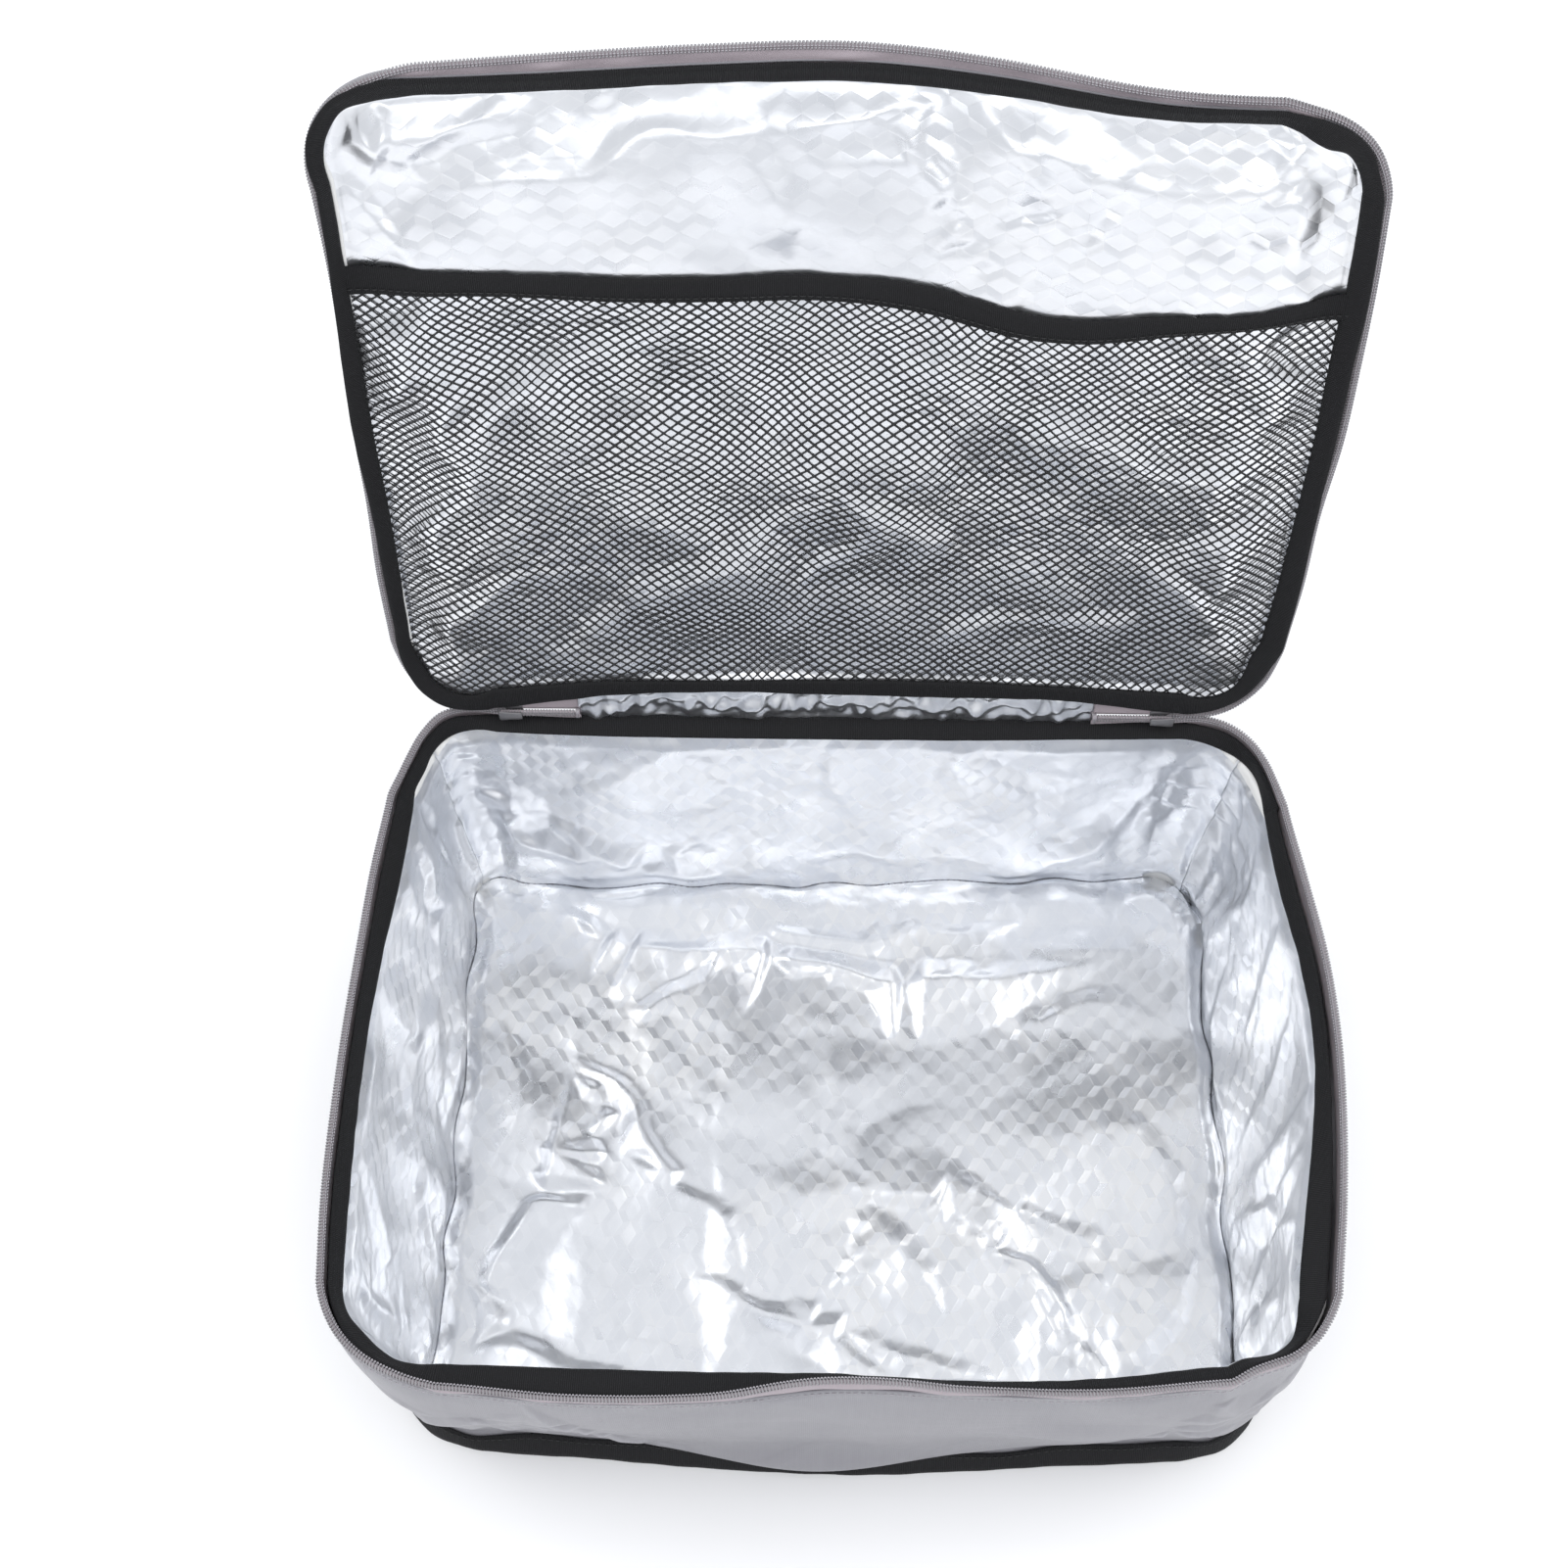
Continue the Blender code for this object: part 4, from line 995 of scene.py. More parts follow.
def body_walls():
    nt = 960
    tt = even_t(0, 8, 1.0)
    share = np.concatenate([[0], np.cumsum(0.4 + 0.6 * smoothstep(4.3, 4.6, (tt[1:] + tt[:-1]) / 2) * smoothstep(6.7, 6.4, (tt[1:] + tt[:-1]) / 2))])
    tt = np.interp(np.linspace(0, share[-1], nt, endpoint=False), share, tt)
    zz = np.concatenate([[1.2, 5.0, 9.0], np.linspace(SKIRT_Z, SEAM_Z, 106)])
    T, Z = np.meshgrid(tt, zz, indexing="ij")
    base = ring_point(T, wall_d(T, Z), Z)
    N = normals_of(base, True)
    out = ring_point(T, wall_d(T, Z) + 1, Z) - base
    N = np.where((N * out).sum(-1, keepdims=True) < 0, -N, N)
    edge = np.minimum(smoothstep(SKIRT_Z, 70, Z), smoothstep(SEAM_Z, SEAM_Z - 10, Z))
    # The back wall lies flat behind the sliders' pulls.
    calm = smoothstep(0.95, 1.05, T) * smoothstep(2.05, 1.95, T) * smoothstep(92, 110, Z)
    h = edge * (0.8 * noise(base * (1, 1, 1.6), 110, 3)) * (1 - calm) - 0.6 * calm * edge
    P = base + N * h[..., None]
    pin = (Z < SKIRT_Z) | (Z > SEAM_Z - 1)
    P = relax(P, base, N, -2.4 * edge - 0.2, 0.3 + edge * 2.6, pin, 1.0, 8, wrap=True, bend=0.35, fold=1.5)
    u = lengths(np.concatenate([base, base[:1]]), 0)[:-1].mean(1)[:, None] + 0 * Z
    total = float(np.linalg.norm(np.diff(np.concatenate([base, base[:1]]), axis=0), axis=-1).sum(0).mean())
    at = lambda t: float(np.interp(t, tt, u[:, 0]))
    lines = []
    # (x, z) on the front wall, from the left end to the right
    for path, height, width, lean in FRONT_FOLDS:
        lines.append(([(at(5.0 + (x + CX) / (2 * CX)) if abs(x) <= CX else (at(5.0) + x + CX if x < 0 else at(6.0) + x - CX), z) for x, z in path], height, width, lean))
    creases = [(path, 1.15 * height, (0.9 if lean >= 0 else -0.9) * width, 3.4 * width) for path, height, width, lean in lines]
    creases += [(path, abs(height), 0.9 * width, 2.4 * width) for path, height, width, lean in scatter(301, 20, (0, total, 40, 130), (40, 110), (0.6, 1.6), (7, 10), 0.0, 1.4)]
    h = crumple(np.stack([u, Z], -1), 303, creases, total, 1.5, 0.45, 0.06, 84.0, jitter=0.05)
    h = h * smoothstep(SKIRT_Z, 26, Z) * smoothstep(SEAM_Z + 1, SEAM_Z - 7, Z)
    h = soft_limit(h * (1 - calm), -2.2 + 0 * h, 2.0 + 3.4 * smoothstep(24, 70, Z), 0.3)
    # The fourth value is how far each point is a crest, for the cloth's painted highlight and painted shade.
    return tt, zz, np.concatenate([P + N * h[..., None], crest_of(h, 1.4)[..., None]], -1)


WALL_T, WALL_ZZ, WALL_P = body_walls()


def side_length(middle, inset=0.0):
    """Length in metres, to the centimetre, of one side of the plain rectangle with half of each corner."""
    p = ring_point(np.linspace(middle - 1.0, middle + 1.0, 200), -inset, 0.0)
    return round(float(np.linalg.norm(np.diff(p, axis=0), axis=1).sum()) / 10) / 100


def slice_ring(tt, G, t0, t1, period=8.0):
    """The part of a ring grid from t0 to t1, with its ends cut exactly there."""
    full_t = np.concatenate([tt - period, tt, tt + period])
    full = np.concatenate([G, G, G])
    keep = (full_t > t0 + 1e-6) & (full_t < t1 - 1e-6)
    mids = full[keep]
    ts = full_t[keep]

    def at(t):
        k = np.searchsorted(full_t, t) - 1
        f = (t - full_t[k]) / (full_t[k + 1] - full_t[k])
        return full[k] * (1 - f) + full[k + 1] * f

    return np.concatenate([[t0], ts, [t1]]), np.concatenate([at(t0)[None], mids, at(t1)[None]])


for side, middle in SIDES:
    ts, G = slice_ring(WALL_T, WALL_P, middle - 1.0, middle + 1.0)
    piece = sheet_mesh(side + "_wall_cloth", G[..., :3], 0.8, CLOTH)
    # The cloth's colour is painted lighter on its crests and darker in its folds: painted highlight and painted shade.
    paint_crest_shading(piece, G[..., 3])
    as_piece(piece, "body", "cloth", side + "_panel")
    side_length(middle)

# Base cloth under the bag.
tt = even_t(0, 8, 9.0)[:-1]
rows = []
for f, z in ((1.0, 0.9), (1.0, 0.25), (0.985, 0.02), (0.7, 0.02), (0.35, 0.02), (0.02, 0.02)):
    p = ring_point(tt, foot(tt) - 0.9, z)
    p[:, :2] *= f
    rows.append(p)
for f in (0.02, 0.35, 0.7, 1.0):
    p = ring_point(tt, foot(tt) - 0.9, 0.9)
    p[:, :2] *= f
    if f < 1.0:
        rows.append(p)
G = np.stack(rows[:6] + rows[6:], 1)
uvp = np.concatenate([G, G[:1]], 0)[..., :2]
ring = np.concatenate([G, G[:, :1]], 1)
UVb = np.concatenate([ring, ring[:1]], 0)[..., :2]
base_cloth = sweep("base_cloth", G, CLOTH, closed=True, smooth=False, UV=UVb)
as_piece(base_cloth, "body", "cloth", "base_panel")


def rounded_section(half_a, half_b, n=7, power=4.0):
    """A flat rounded loop, as a folded band has in section."""
    ang = np.linspace(0, 2 * math.pi, 4 * n, endpoint=False)
    c, s = np.cos(ang), np.sin(ang)
    r = (np.abs(c) ** power + np.abs(s) ** power) ** (-1 / power)
    return np.stack([half_a * np.sign(c) * np.abs(r * c) ** 1.0, half_b * s * r], -1)


def band_between(name, C0, C1, thick, puff, material, closed=True, ripple=0.0, seed=0):
    """A folded binding between two edge lines, with rounded edges and a slight pillow."""
    k = 9
    f = np.linspace(0, 1, k)
    up = np.cross(np.gradient(C0, axis=0) if not closed else np.roll(C0, -1, 0) - np.roll(C0, 1, 0), C1 - C0)
    up = up / np.linalg.norm(up, axis=1, keepdims=True)
    line = C0[:, None] * (1 - f)[None, :, None] + C1[:, None] * f[None, :, None]
    half = thick / 2 * (1 - np.abs(2 * f - 1) ** 6 * 0.75)
    rise = puff * (1 - (2 * f - 1) ** 2)
    wav = ripple * noise(line, 22, seed) if ripple else 0 * line[..., 0]
    top = line + up[:, None] * (half + rise)[None, :, None] + up[:, None] * wav[..., None]
    low = line - up[:, None] * (half - rise * 0.6)[None, :, None] + up[:, None] * wav[..., None]
    G = np.concatenate([top, low[:, ::-1]], 1)
    return sweep(name, G, material, closed)


def stitch_row(name, C, up, material, step=3.6, length=2.7, radius=0.28, closed=True):
    """A row of separate thread stitches laid along C, a little proud of it."""
    at, _ = by_length(C, step, closed)
    H = np.concatenate([C, C[:1]]) if closed else C
    T, A, B = frames_of(C, up, closed)
    pick = np.minimum(np.round(at).astype(int) % len(C), len(C) - 1)
    P = sample(C, at, closed)
    T, A, B = T[pick], A[pick], B[pick]
    s = np.linspace(-1, 1, 6)
    rad = radius * np.sqrt(np.clip(1 - np.abs(s) ** 3, 0.08, 1))
    rise = radius * (0.9 - 1.1 * s**2)
    ang = np.linspace(0, 2 * math.pi, 6, endpoint=False)
    centre = P[:, None] + T[:, None] * (s * length / 2)[None, :, None] + A[:, None] * rise[None, :, None]
    ring = centre[:, :, None] + (A[:, None, None] * np.cos(ang)[None, None, :, None] + B[:, None, None] * np.sin(ang)[None, None, :, None]) * rad[None, :, None, None]
    n, k, m, _ = ring.shape
    V = ring.reshape(-1, 3)
    i, j, l = np.arange(n)[:, None, None], np.arange(k - 1)[None, :, None], np.arange(m)[None, None, :]
    a = (i * k + j) * m + l
    b = (i * k + j + 1) * m + l
    a2 = (i * k + j) * m + (l + 1) % m
    b2 = (i * k + j + 1) * m + (l + 1) % m
    F = np.stack([a, a2, b2, b], -1).reshape(-1, 4)
    starts = (np.arange(n) * k * m)[:, None]
    caps0 = starts + np.arange(m)[::-1][None, :]
    caps1 = starts + (k - 1) * m + np.arange(m)[None, :]
    extra = [caps0, caps1]
    nl = F.size + caps0.size + caps1.size
    obj = make(name, V, F, np.zeros((nl, 2)), material, True, extra)
    return obj


def across(C0, C1, f, lift):
    up = np.cross(np.roll(C0, -1, 0) - np.roll(C0, 1, 0), C1 - C0)
    up = up / np.linalg.norm(up, axis=1, keepdims=True)
    return C0 * (1 - f) + C1 * f + up * lift, up


# The band round the foot.
tt = even_t(0, 8, 3.0)[:-1]
P = ring_point(tt, 0 * tt, 0 * tt)
zt = 11.6 + 0.7 * noise(P, 60, 11)
low = ring_point(tt, foot(tt) + 0.9 + 0.5 * noise(P, 80, 12), 0.7)
high = ring_point(tt, foot(tt) - skirt_in(tt) * zt / SKIRT_Z + 0.7, zt)
foot_band = band_between("base_binding_band", low, high, 1.3, 0.25, WEBBING, ripple=0.15, seed=24)
as_piece(foot_band, "body", "webbing", "base_binding")
line, up = across(low, high, 0.82, 0.75)
as_piece(stitch_row("foot_stitches", line, up, THREAD), "body", "webbing")


# ------------------------------------------------------------------ the body's rim
def tape_gap(t):
    """Width of tape that shows between binding and coil."""
    mod = np.mod(t, 8)
    right = smoothstep(6.3, 7.0, mod) * smoothstep(8.2, 7.8, mod)
    left = smoothstep(2.8, 3.2, mod) * smoothstep(4.4, 4.0, mod)
    return 0.3 + 2.6 * right + 1.2 * left


rim_t = even_t(0, 8, 1.6)[:-1]


def rim_lines(t):
    coil_d = body_coil(t)
    back = smoothstep(0.75, 1.05, np.mod(t, 8)) * smoothstep(2.25, 1.95, np.mod(t, 8))
    out_d = (coil_d - 3.2 - tape_gap(t)) * (1 - back) + 1.2 * back
    out_z = 155.2 * (1 - back) + 154.0 * back + 1.5 * front_lift(t)
    outer = ring_point(t, out_d, out_z)
    inner = ring_point(t, bind_in(t), bind_in_z(t))
    return outer, inner


outer, inner = rim_lines(rim_t)
rim_band = band_between("body_rim_band", inner, outer, 2.4, 0.35, WEBBING, ripple=0.12, seed=21)
as_piece(rim_band, "body", "webbing", "body_rim_binding")



line, up = across(inner, outer, 0.78, 1.35)
as_piece(stitch_row("rim_stitches", line, up, THREAD), "body", "webbing")


def coil_mesh(name, C, A, B, t_range_closed, material, half_a=1.55, half_b=1.15, wire=0.40):
    """A nylon coil: a flattened helix of wire, wider at its heads, on a core."""
    at, total = by_length(C, PITCH / 10.0, t_range_closed)
    n = len(at) // 10 * 10
    at = at[:n]
    P, Aq, Bq = sample(C, at, t_range_closed), sample(A, at, t_range_closed), sample(B, at, t_range_closed)
    ph = np.arange(n) * 2 * math.pi / 10.0
    c, s = np.cos(ph), np.sin(ph)
    r = (np.abs(c) ** 2.6 + np.abs(s) ** 2.6) ** (-1 / 2.6)
    rad = Aq * (c * r)[:, None] * half_a + Bq * (s * r)[:, None] * half_b
    Q = P + rad
    T = (np.roll(Q, -1, 0) - np.roll(Q, 1, 0)) if t_range_closed else np.gradient(Q, axis=0)
    T /= np.linalg.norm(T, axis=1, keepdims=True)
    R = rad / np.linalg.norm(rad, axis=1, keepdims=True)
    R = R - T * (R * T).sum(1, keepdims=True)
    R /= np.linalg.norm(R, axis=1, keepdims=True)
    S = np.cross(T, R)
    k = 5
    ang = np.linspace(0, 2 * math.pi, k, endpoint=False)
    thick = wire * (1 + 0.35 * np.clip(c, 0, 1) ** 3)
    G = Q[:, None] + (R[:, None] * np.cos(ang)[None, :, None] + S[:, None] * np.sin(ang)[None, :, None]) * thick[:, None, None]
    if t_range_closed:
        return sweep(name, G, material, True)
    return sweep(name, G, material, False)


def coil_core(name, C, A, B, closed, material):
    """The cord and sewing inside a coil."""
    sec = rounded_section(1.0, 0.72, 3, 2.5)
    return sweep(name, tube_grid(C, A, B, sec), material, closed)


def coil_threads(name, C, A, B, closed, material, half_b=1.5):
    """Two rows of short threads, laid along the coil, that sew it to its tape, as one mesh."""
    parts = []
    for k, (off, slant) in enumerate(((-0.55, 0.35), (0.45, -0.35))):
        line = C + A * off + B * half_b
        T, U, S = frames_of(line, B, closed)
        obj = stitch_row(name + str(k), line, B, material, step=PITCH, length=1.15, radius=0.20, closed=closed)
        parts.append(obj)
    return join(name, parts)


# The coil runs from one slider round the front to the other.
def back_t(x):
    return 1.0 + (CX - x) / (2 * CX)


SLIDER_X, SLIDER_LEN = 167.0, 12.0
t0, t1 = back_t(-SLIDER_X - 3.0), 8.0 + back_t(SLIDER_X + 3.0)
ct = even_t(t0, t1, 1.5)


def coil_place(t):
    d = body_coil(t) - 1.5
    z = 158.45 + 6.5 * front_lift(t)
    return ring_point(t, d, z)


def lean_of(t):
    """Direction in which the coil's teeth point: up, and leaning outwards at the sides."""
    _, normal = loop(t)
    mod = np.mod(t, 8)
    out = 0.55 + 0.55 * smoothstep(6.4, 7.0, mod) * smoothstep(8.1, 7.8, mod) + 0.25 * smoothstep(2.9, 3.2, mod) * smoothstep(4.3, 4.0, mod)
    back = smoothstep(0.85, 1.05, mod) * smoothstep(2.15, 1.95, mod)
    out = out * (1 - back)
    v = np.concatenate([normal * out[:, None], np.ones((len(t), 1))], 1)
    return v / np.linalg.norm(v, axis=1, keepdims=True)


C = coil_place(ct)
T_, A_, B_ = frames_of(C, lean_of(ct), False)
coil = coil_mesh("body_coil_teeth", C, A_, B_, False, COIL)
core = coil_core("body_coil_core", C, A_, B_, False, TAPE)
threads = coil_threads("body_coil_threads", C, A_, -B_, False, THREAD_GREY, 1.55)
piece = join("body_zipper_teeth", [coil, core, threads])
as_piece(piece, "body", "coil", "body_zipper_coil")

# Tape: from the seam up to the coil.
t0, t1 = back_t(-HINGE_HALF - 0.8), 8.0 + back_t(HINGE_HALF + 0.8)
ct = even_t(t0, t1, 2.0)
C = coil_place(ct)
lean = lean_of(ct)
root = ring_point(ct, body_coil(ct) - 2.6, SEAM_Z - 3.0)
tip = C - lean * 1.0
f = np.linspace(0, 1, 8)
G = root[:, None] * (1 - f)[None, :, None] + tip[:, None] * f[None, :, None]
_, nrm = loop(ct)
nrm3 = np.concatenate([nrm, np.zeros((len(ct), 1))], 1)
G = G + nrm3[:, None] * (np.sin(math.pi * f)[None, :, None] * 0.9) + nrm3[:, None] * (0.35 * noise(G, 26, 31) * np.sin(math.pi * f)[None, :])[..., None]
tape = sheet_mesh("body_zipper_tape_cloth", G, 0.55, TAPE)
as_piece(tape, "body", "tape", "body_zipper_tape")

# Topstitching that holds cloth and tape together, just under the cloth's top edge.
ct = even_t(0, 8, 2.0)[:-1]
line = ring_point(ct, wall_d(ct, SEAM_Z - 2.2) + 0.9, SEAM_Z - 2.2)
_, nrm = loop(ct)
up = np.concatenate([nrm, np.zeros((len(ct), 1))], 1)
as_piece(stitch_row("wall_topstitch", line, up, THREAD_GREY, step=3.2, length=2.3, radius=0.22), "body", "cloth")


# ------------------------------------------------------------------ lining of the body
SEAM_T = [0, 0.5, 1, 1.5, 2, 2.5, 3, 3.5, 4, 4.5, 5, 5.5, 6, 6.5, 7, 7.5, 8]
SEAM_D = [-18, -11, -16, -22, -27, -17, -25, -25, -24, -14, -18, -17, -18, -12, -18, -19, -18]
floor_seam = rail([float(np.mean(np.interp(np.mod(k / 6 + np.linspace(-0.15, 0.15, 7), 8), SEAM_T, SEAM_D))) for k in range(48)])


def seam_point(t):
    d = np.minimum(floor_seam(t), foot(t) - 0.9 - skirt_in(t) - 6.6)
    p = ring_point(t, d, FLOOR_Z + 1.2)
    p[..., 2] += np.clip(1.6 * noise(p, 70, 41) + 1.2, 0, 5)
    p[..., :2] += 1.2 * np.stack([noise(p, 45, 42), noise(p, 45, 43)], -1)
    return p


BACK_FOLDS = [  # (x, z)
    ([(-181, 91), (-107, 30), (-42, 17)], 5.0, 9, 0.3),
    ([(-196, 125), (-182, 60), (-112, 34)], 6.0, 11, 0.3),
    ([(-203, 130), (-201, 80), (-200, 25)], -5.0, 9, 0.0),
    ([(-72, 62), (-84, 50), (-98, 36)], 3.0, 9, 0.3),
    ([(-84, 78), (-62, 108), (-44, 140)], 3.2, 13, 0.3),
    ([(-150, 140), (-120, 100), (-90, 76)], 2.2, 14, 0.0),
    ([(-3, 152), (0, 108), (25, 60)], 3.0, 6, 0.0),
    ([(62, 140), (76, 105), (100, 70)], 4.0, 13, 0.2),
    ([(122, 142), (130, 96), (124, 56)], 3.6, 11, 0.2),
    ([(182, 112), (152, 50), (106, 20)], 5.0, 9, -0.3),
    ([(198, 142), (207, 100), (206, 45)], -4.5, 9, 0.0),
    ([(186, 146), (192, 100), (176, 60)], 4.5, 9, 0.2),
    ([(-14, 28), (15, 46), (66, 24)], 4.0, 11, 0.0),
    ([(20, 24), (60, 40), (100, 30)], 3.0, 9, 0.0),
]
LEFT_FOLDS = [  # (y, z)
    ([(150, 140), (140, 96), (132, 50)], 5.0, 10, 0.3),
    ([(118, 146), (112, 112), (84, 70)], 5.0, 9, 0.3),
    ([(92, 146), (84, 118), (96, 92)], 3.4, 8, 0.0),
    ([(60, 60), (20, 84), (-20, 78)], 3.6, 12, 0.0),
    ([(30, 146), (20, 110), (26, 84)], 2.6, 9, 0.2),
    ([(-30, 60), (-60, 40), (-84, 20)], 3.6, 10, 0.2),
    ([(-60, 146), (-72, 110), (-110, 70)], 3.6, 11, 0.2),
    ([(-120, 146), (-126, 90), (-116, 40)], 4.5, 10, 0.2),
    ([(-150, 130), (-142, 80), (-150, 30)], -4.0, 10, 0.0),
]
RIGHT_FOLDS = [
    ([(150, 146), (142, 100), (150, 50)], 4.5, 10, 0.2),
    ([(120, 146), (104, 100), (116, 60)], 4.5, 10, 0.3),
    ([(70, 148), (58, 104), (40, 60)], 4.2, 10, 0.3),
    ([(30, 120), (0, 84), (-20, 34)], 4.5, 9, 0.3),
    ([(-20, 148), (-34, 100), (-40, 50)], 4.8, 9, 0.2),
    ([(-50, 140), (-62, 90), (-54, 30)], 4.5, 8, 0.2),
    ([(-92, 146), (-84, 96), (-100, 40)], 4.8, 9, 0.3),
    ([(-120, 110), (-112, 60), (-126, 20)], 4.0, 8, 0.2),
    ([(-150, 130), (-150, 80), (-146, 30)], -4.0, 10, 0.0),
    ([(90, 60), (60, 30), (10, 22)], 3.6, 9, 0.2),
]
FRONT_LINING_FOLDS = [
    ([(-170, 130), (-150, 80), (-160, 30)], 4.0, 11, 0.2),
    ([(-60, 140), (-80, 90), (-70, 40)], 3.6, 12, 0.2),
    ([(40, 140), (60, 90), (50, 40)], 3.6, 12, 0.2),
    ([(150, 140), (140, 90), (160, 30)], 4.0, 11, 0.2),
]


def lining():
    """Walls of the lining, as one creased sheet from the floor's seam to the rim."""
    n0, m0 = 240, 25
    tt = even_t(0, 8, 1.0)[:-1]
    tt = np.interp(np.linspace(0, 1, n0, endpoint=False), np.linspace(0, 1, len(tt) + 1), np.append(tt, 8.0))
    ff = np.linspace(0, 1, m0)

    def surface(tt, ff):
        low = seam_point(tt)
        high = ring_point(tt, bind_in(tt) + 1.8, bind_in_z(tt) - 0.6)
        T, F = np.meshgrid(tt, ff, indexing="ij")
        base = low[:, None] * (1 - F)[..., None] + high[:, None] * F[..., None]
        _, nrm = loop(T)
        out = np.concatenate([nrm, np.zeros(T.shape + (1,))], -1)
        base = base + out * (np.sin(math.pi * F) ** 0.8 * 4.0)[..., None]
        limit = wall_d(T, base[..., 2]) - 9.2
        t_, d_ = locate(base[..., 0], base[..., 1])
        return T, F, base, out, limit - d_

    P = None
    for level in range(3):
        T, F, base, out, room = surface(tt, ff)
        soft = np.minimum(smoothstep(0, 0.12, F), smoothstep(1, 0.93, F))
        if level == 0:
            P = base - out * ((2.0 + 2.4 * noise(base, 130, 51)) * soft)[..., None]
        pin = (F < 1e-6) | (F > 1 - 1e-6)
        P = np.where(pin[..., None], base, P)
        if level < 2:
            P = relax(P, base, out, -15.0 * soft - 0.3, np.minimum(room, 8.0) * soft + 0.1, pin, 1.0015, (40, 15)[level], wrap=True, bend=0.4, fold=1.3)
            P = finer(P, True)
            tt = np.stack([tt, (tt + np.append(tt[1:], 8.0 + tt[0])) / 2], 1).reshape(-1)
            ff = np.linspace(0, 1, 2 * len(ff) - 1)
    # Sharp creases, in mm along the rim and up the wall.
    ring = np.concatenate([base, base[:1]])
    u_all = lengths(ring, 0).mean(1)
    total = float(u_all[-1])
    u = u_all[:-1]

    def at(t):
        return float(np.interp(t, tt, u))

    lines = []
    for group, t_mid, sign, half in ((BACK_FOLDS, 1.5, -1, CX), (LEFT_FOLDS, 3.5, -1, CY), (FRONT_LINING_FOLDS, 5.5, 1, CX), (RIGHT_FOLDS, 7.5, 1, CY)):
        for path, height, width, lean in group:
            lines.append(([(at(t_mid) + sign * a * 0.955, z) for a, z in path], height, width, lean))
    for c in (0.5, 2.5):  # pleats in the back corners
        lines.append(([(at(c) + 5, 147), (at(c) - 2, 104), (at(c) + 2, 56), (at(c), 14)], 6.5, 6, 0.2))
        lines.append(([(at(c) - 17, 147), (at(c) - 14, 112), (at(c) - 22, 78)], 3.8, 6, -0.2))
        lines.append(([(at(c) + 24, 147), (at(c) + 19, 108), (at(c) + 27, 66)], 3.8, 6, 0.2))
    uz = np.stack([u[:, None] + 0 * F, base[..., 2]], -1)
    P = base + 0.45 * (P - base)
    creases = [(path, 0.7 * height, (1.0 if lean >= 0 else -1.0) * width, 2.4 * width) for path, height, width, lean in lines]
    h = crumple(uz, 314, creases, total, 2.6, 0.85, 0.2, 50.0) * soft**0.6
    inward = -((P - base) * out).sum(-1) + h + 2.2 * soft
    inward = soft_limit(inward, -np.maximum(np.minimum(room, 7.0), -6.0) * soft - 0.05, 15.0 * soft + 0.3, 0.8)
    keep = P + out * (((P - base) * out).sum(-1))[..., None] * -1
    P2 = keep - out * inward[..., None]
    pin = (F < 1e-6) | (F > 1 - 1e-6)
    return tt, ff, np.where(pin[..., None], base, P2)


LIN_T, LIN_F, LIN_P = lining()
for side, middle in SIDES:
    ts, G = slice_ring(LIN_T, LIN_P, middle - 1.0, middle + 1.0)
    piece = sheet_mesh(side + "_wall_foil", G, 0.35, FOIL_WALL if side in ("back", "front") else FOIL_SIDE, flip=True)
    as_piece(piece, "body", "foil", side + "_liner")
    side_length(middle, 12.0)

FLOOR_FOLDS = [
    ([(-182, 136), (-114, 112), (-48, 101), (1, 92), (88, 91), (140, 104)], 6.5, 12, 0.35),
    ([(-189, 150), (-99, 143), (-27, 152), (23, 160)], 4.0, 10, 0.2),
    ([(-48, 118), (10, 112), (70, 124)], 4.0, 9, 0.3),
    ([(10, 128), (60, 118), (110, 130)], 3.6, 8, 0.2),
    ([(-137, 36), (-158, -45), (-183, -117)], 5.0, 8, -0.3),
    ([(-138, 40), (-122, 0), (-140, -60)], 4.0, 9, 0.3),
    ([(-132, 44), (-82, -22), (-66, -54)], 4.2, 8, 0.3),
    ([(-110, -10), (-60, -50), (-40, -80)], 2.2, 8, 0.0),
    ([(0, -22), (58, -39), (143, -115)], 4.6, 9, -0.3),
    ([(4, -30), (40, -66), (52, -96)], 3.4, 8, 0.2),
    ([(78, -62), (112, -90), (145, -123)], 4.2, 7, 0.3),
    ([(-75, -75), (2, -110), (34, -124)], 4.8, 9, 0.2),
    ([(-40, -84), (50, -118), (96, -136)], 3.4, 8, 0.2),
    ([(43, -10), (134, -57), (150, -84)], 3.2, 9, 0.2),
    ([(1, 88), (3, 20), (1, -43)], 0.9, 4, 0.0),
    ([(168, 155), (190, 130), (198, 112)], 4.0, 9, 0.0),
    ([(190, -60), (170, -96), (120, -136)], 4.0, 9, 0.0),
    ([(-190, -80), (-150, -118), (-60, -146)], 4.4, 10, 0.0),
    ([(-176, 70), (-168, 20), (-180, -20)], 2.6, 9, 0.0),
    ([(-100, 60), (-84, 84), (-60, 96)], 2.4, 9, 0.0),
    ([(150, 20), (172, -20), (182, -60)], 3.2, 9, 0.2),
    ([(90, 60), (130, 74), (176, 70)], 1.8, 12, 0.0),
]


def patch(t_ranges, edge, n, m):
    """A grid inside a closed rail, from its four sides. edge(t) gives the rail's points."""
    back = edge(np.linspace(t_ranges[1], t_ranges[0], n))  # left to right at the back
    left = edge(np.linspace(t_ranges[2], t_ranges[1], m))  # front to back
    front = edge(np.linspace(t_ranges[2], t_ranges[3], n))  # left to right at the front
    right = edge(np.linspace(t_ranges[3], t_ranges[4], m))  # front to back
    u = np.linspace(0, 1, n)[:, None, None]
    v = np.linspace(0, 1, m)[None, :, None]
    G = front[:, None] * (1 - v) + back[:, None] * v + left[None] * (1 - u) + right[None] * u
    G -= (front[0] * (1 - u) * (1 - v) + front[-1] * u * (1 - v) + back[0] * (1 - u) * v + back[-1] * u * v)
    return G


CORNER_T = (0.5, 2.5, 4.5, 6.5, 8.5)


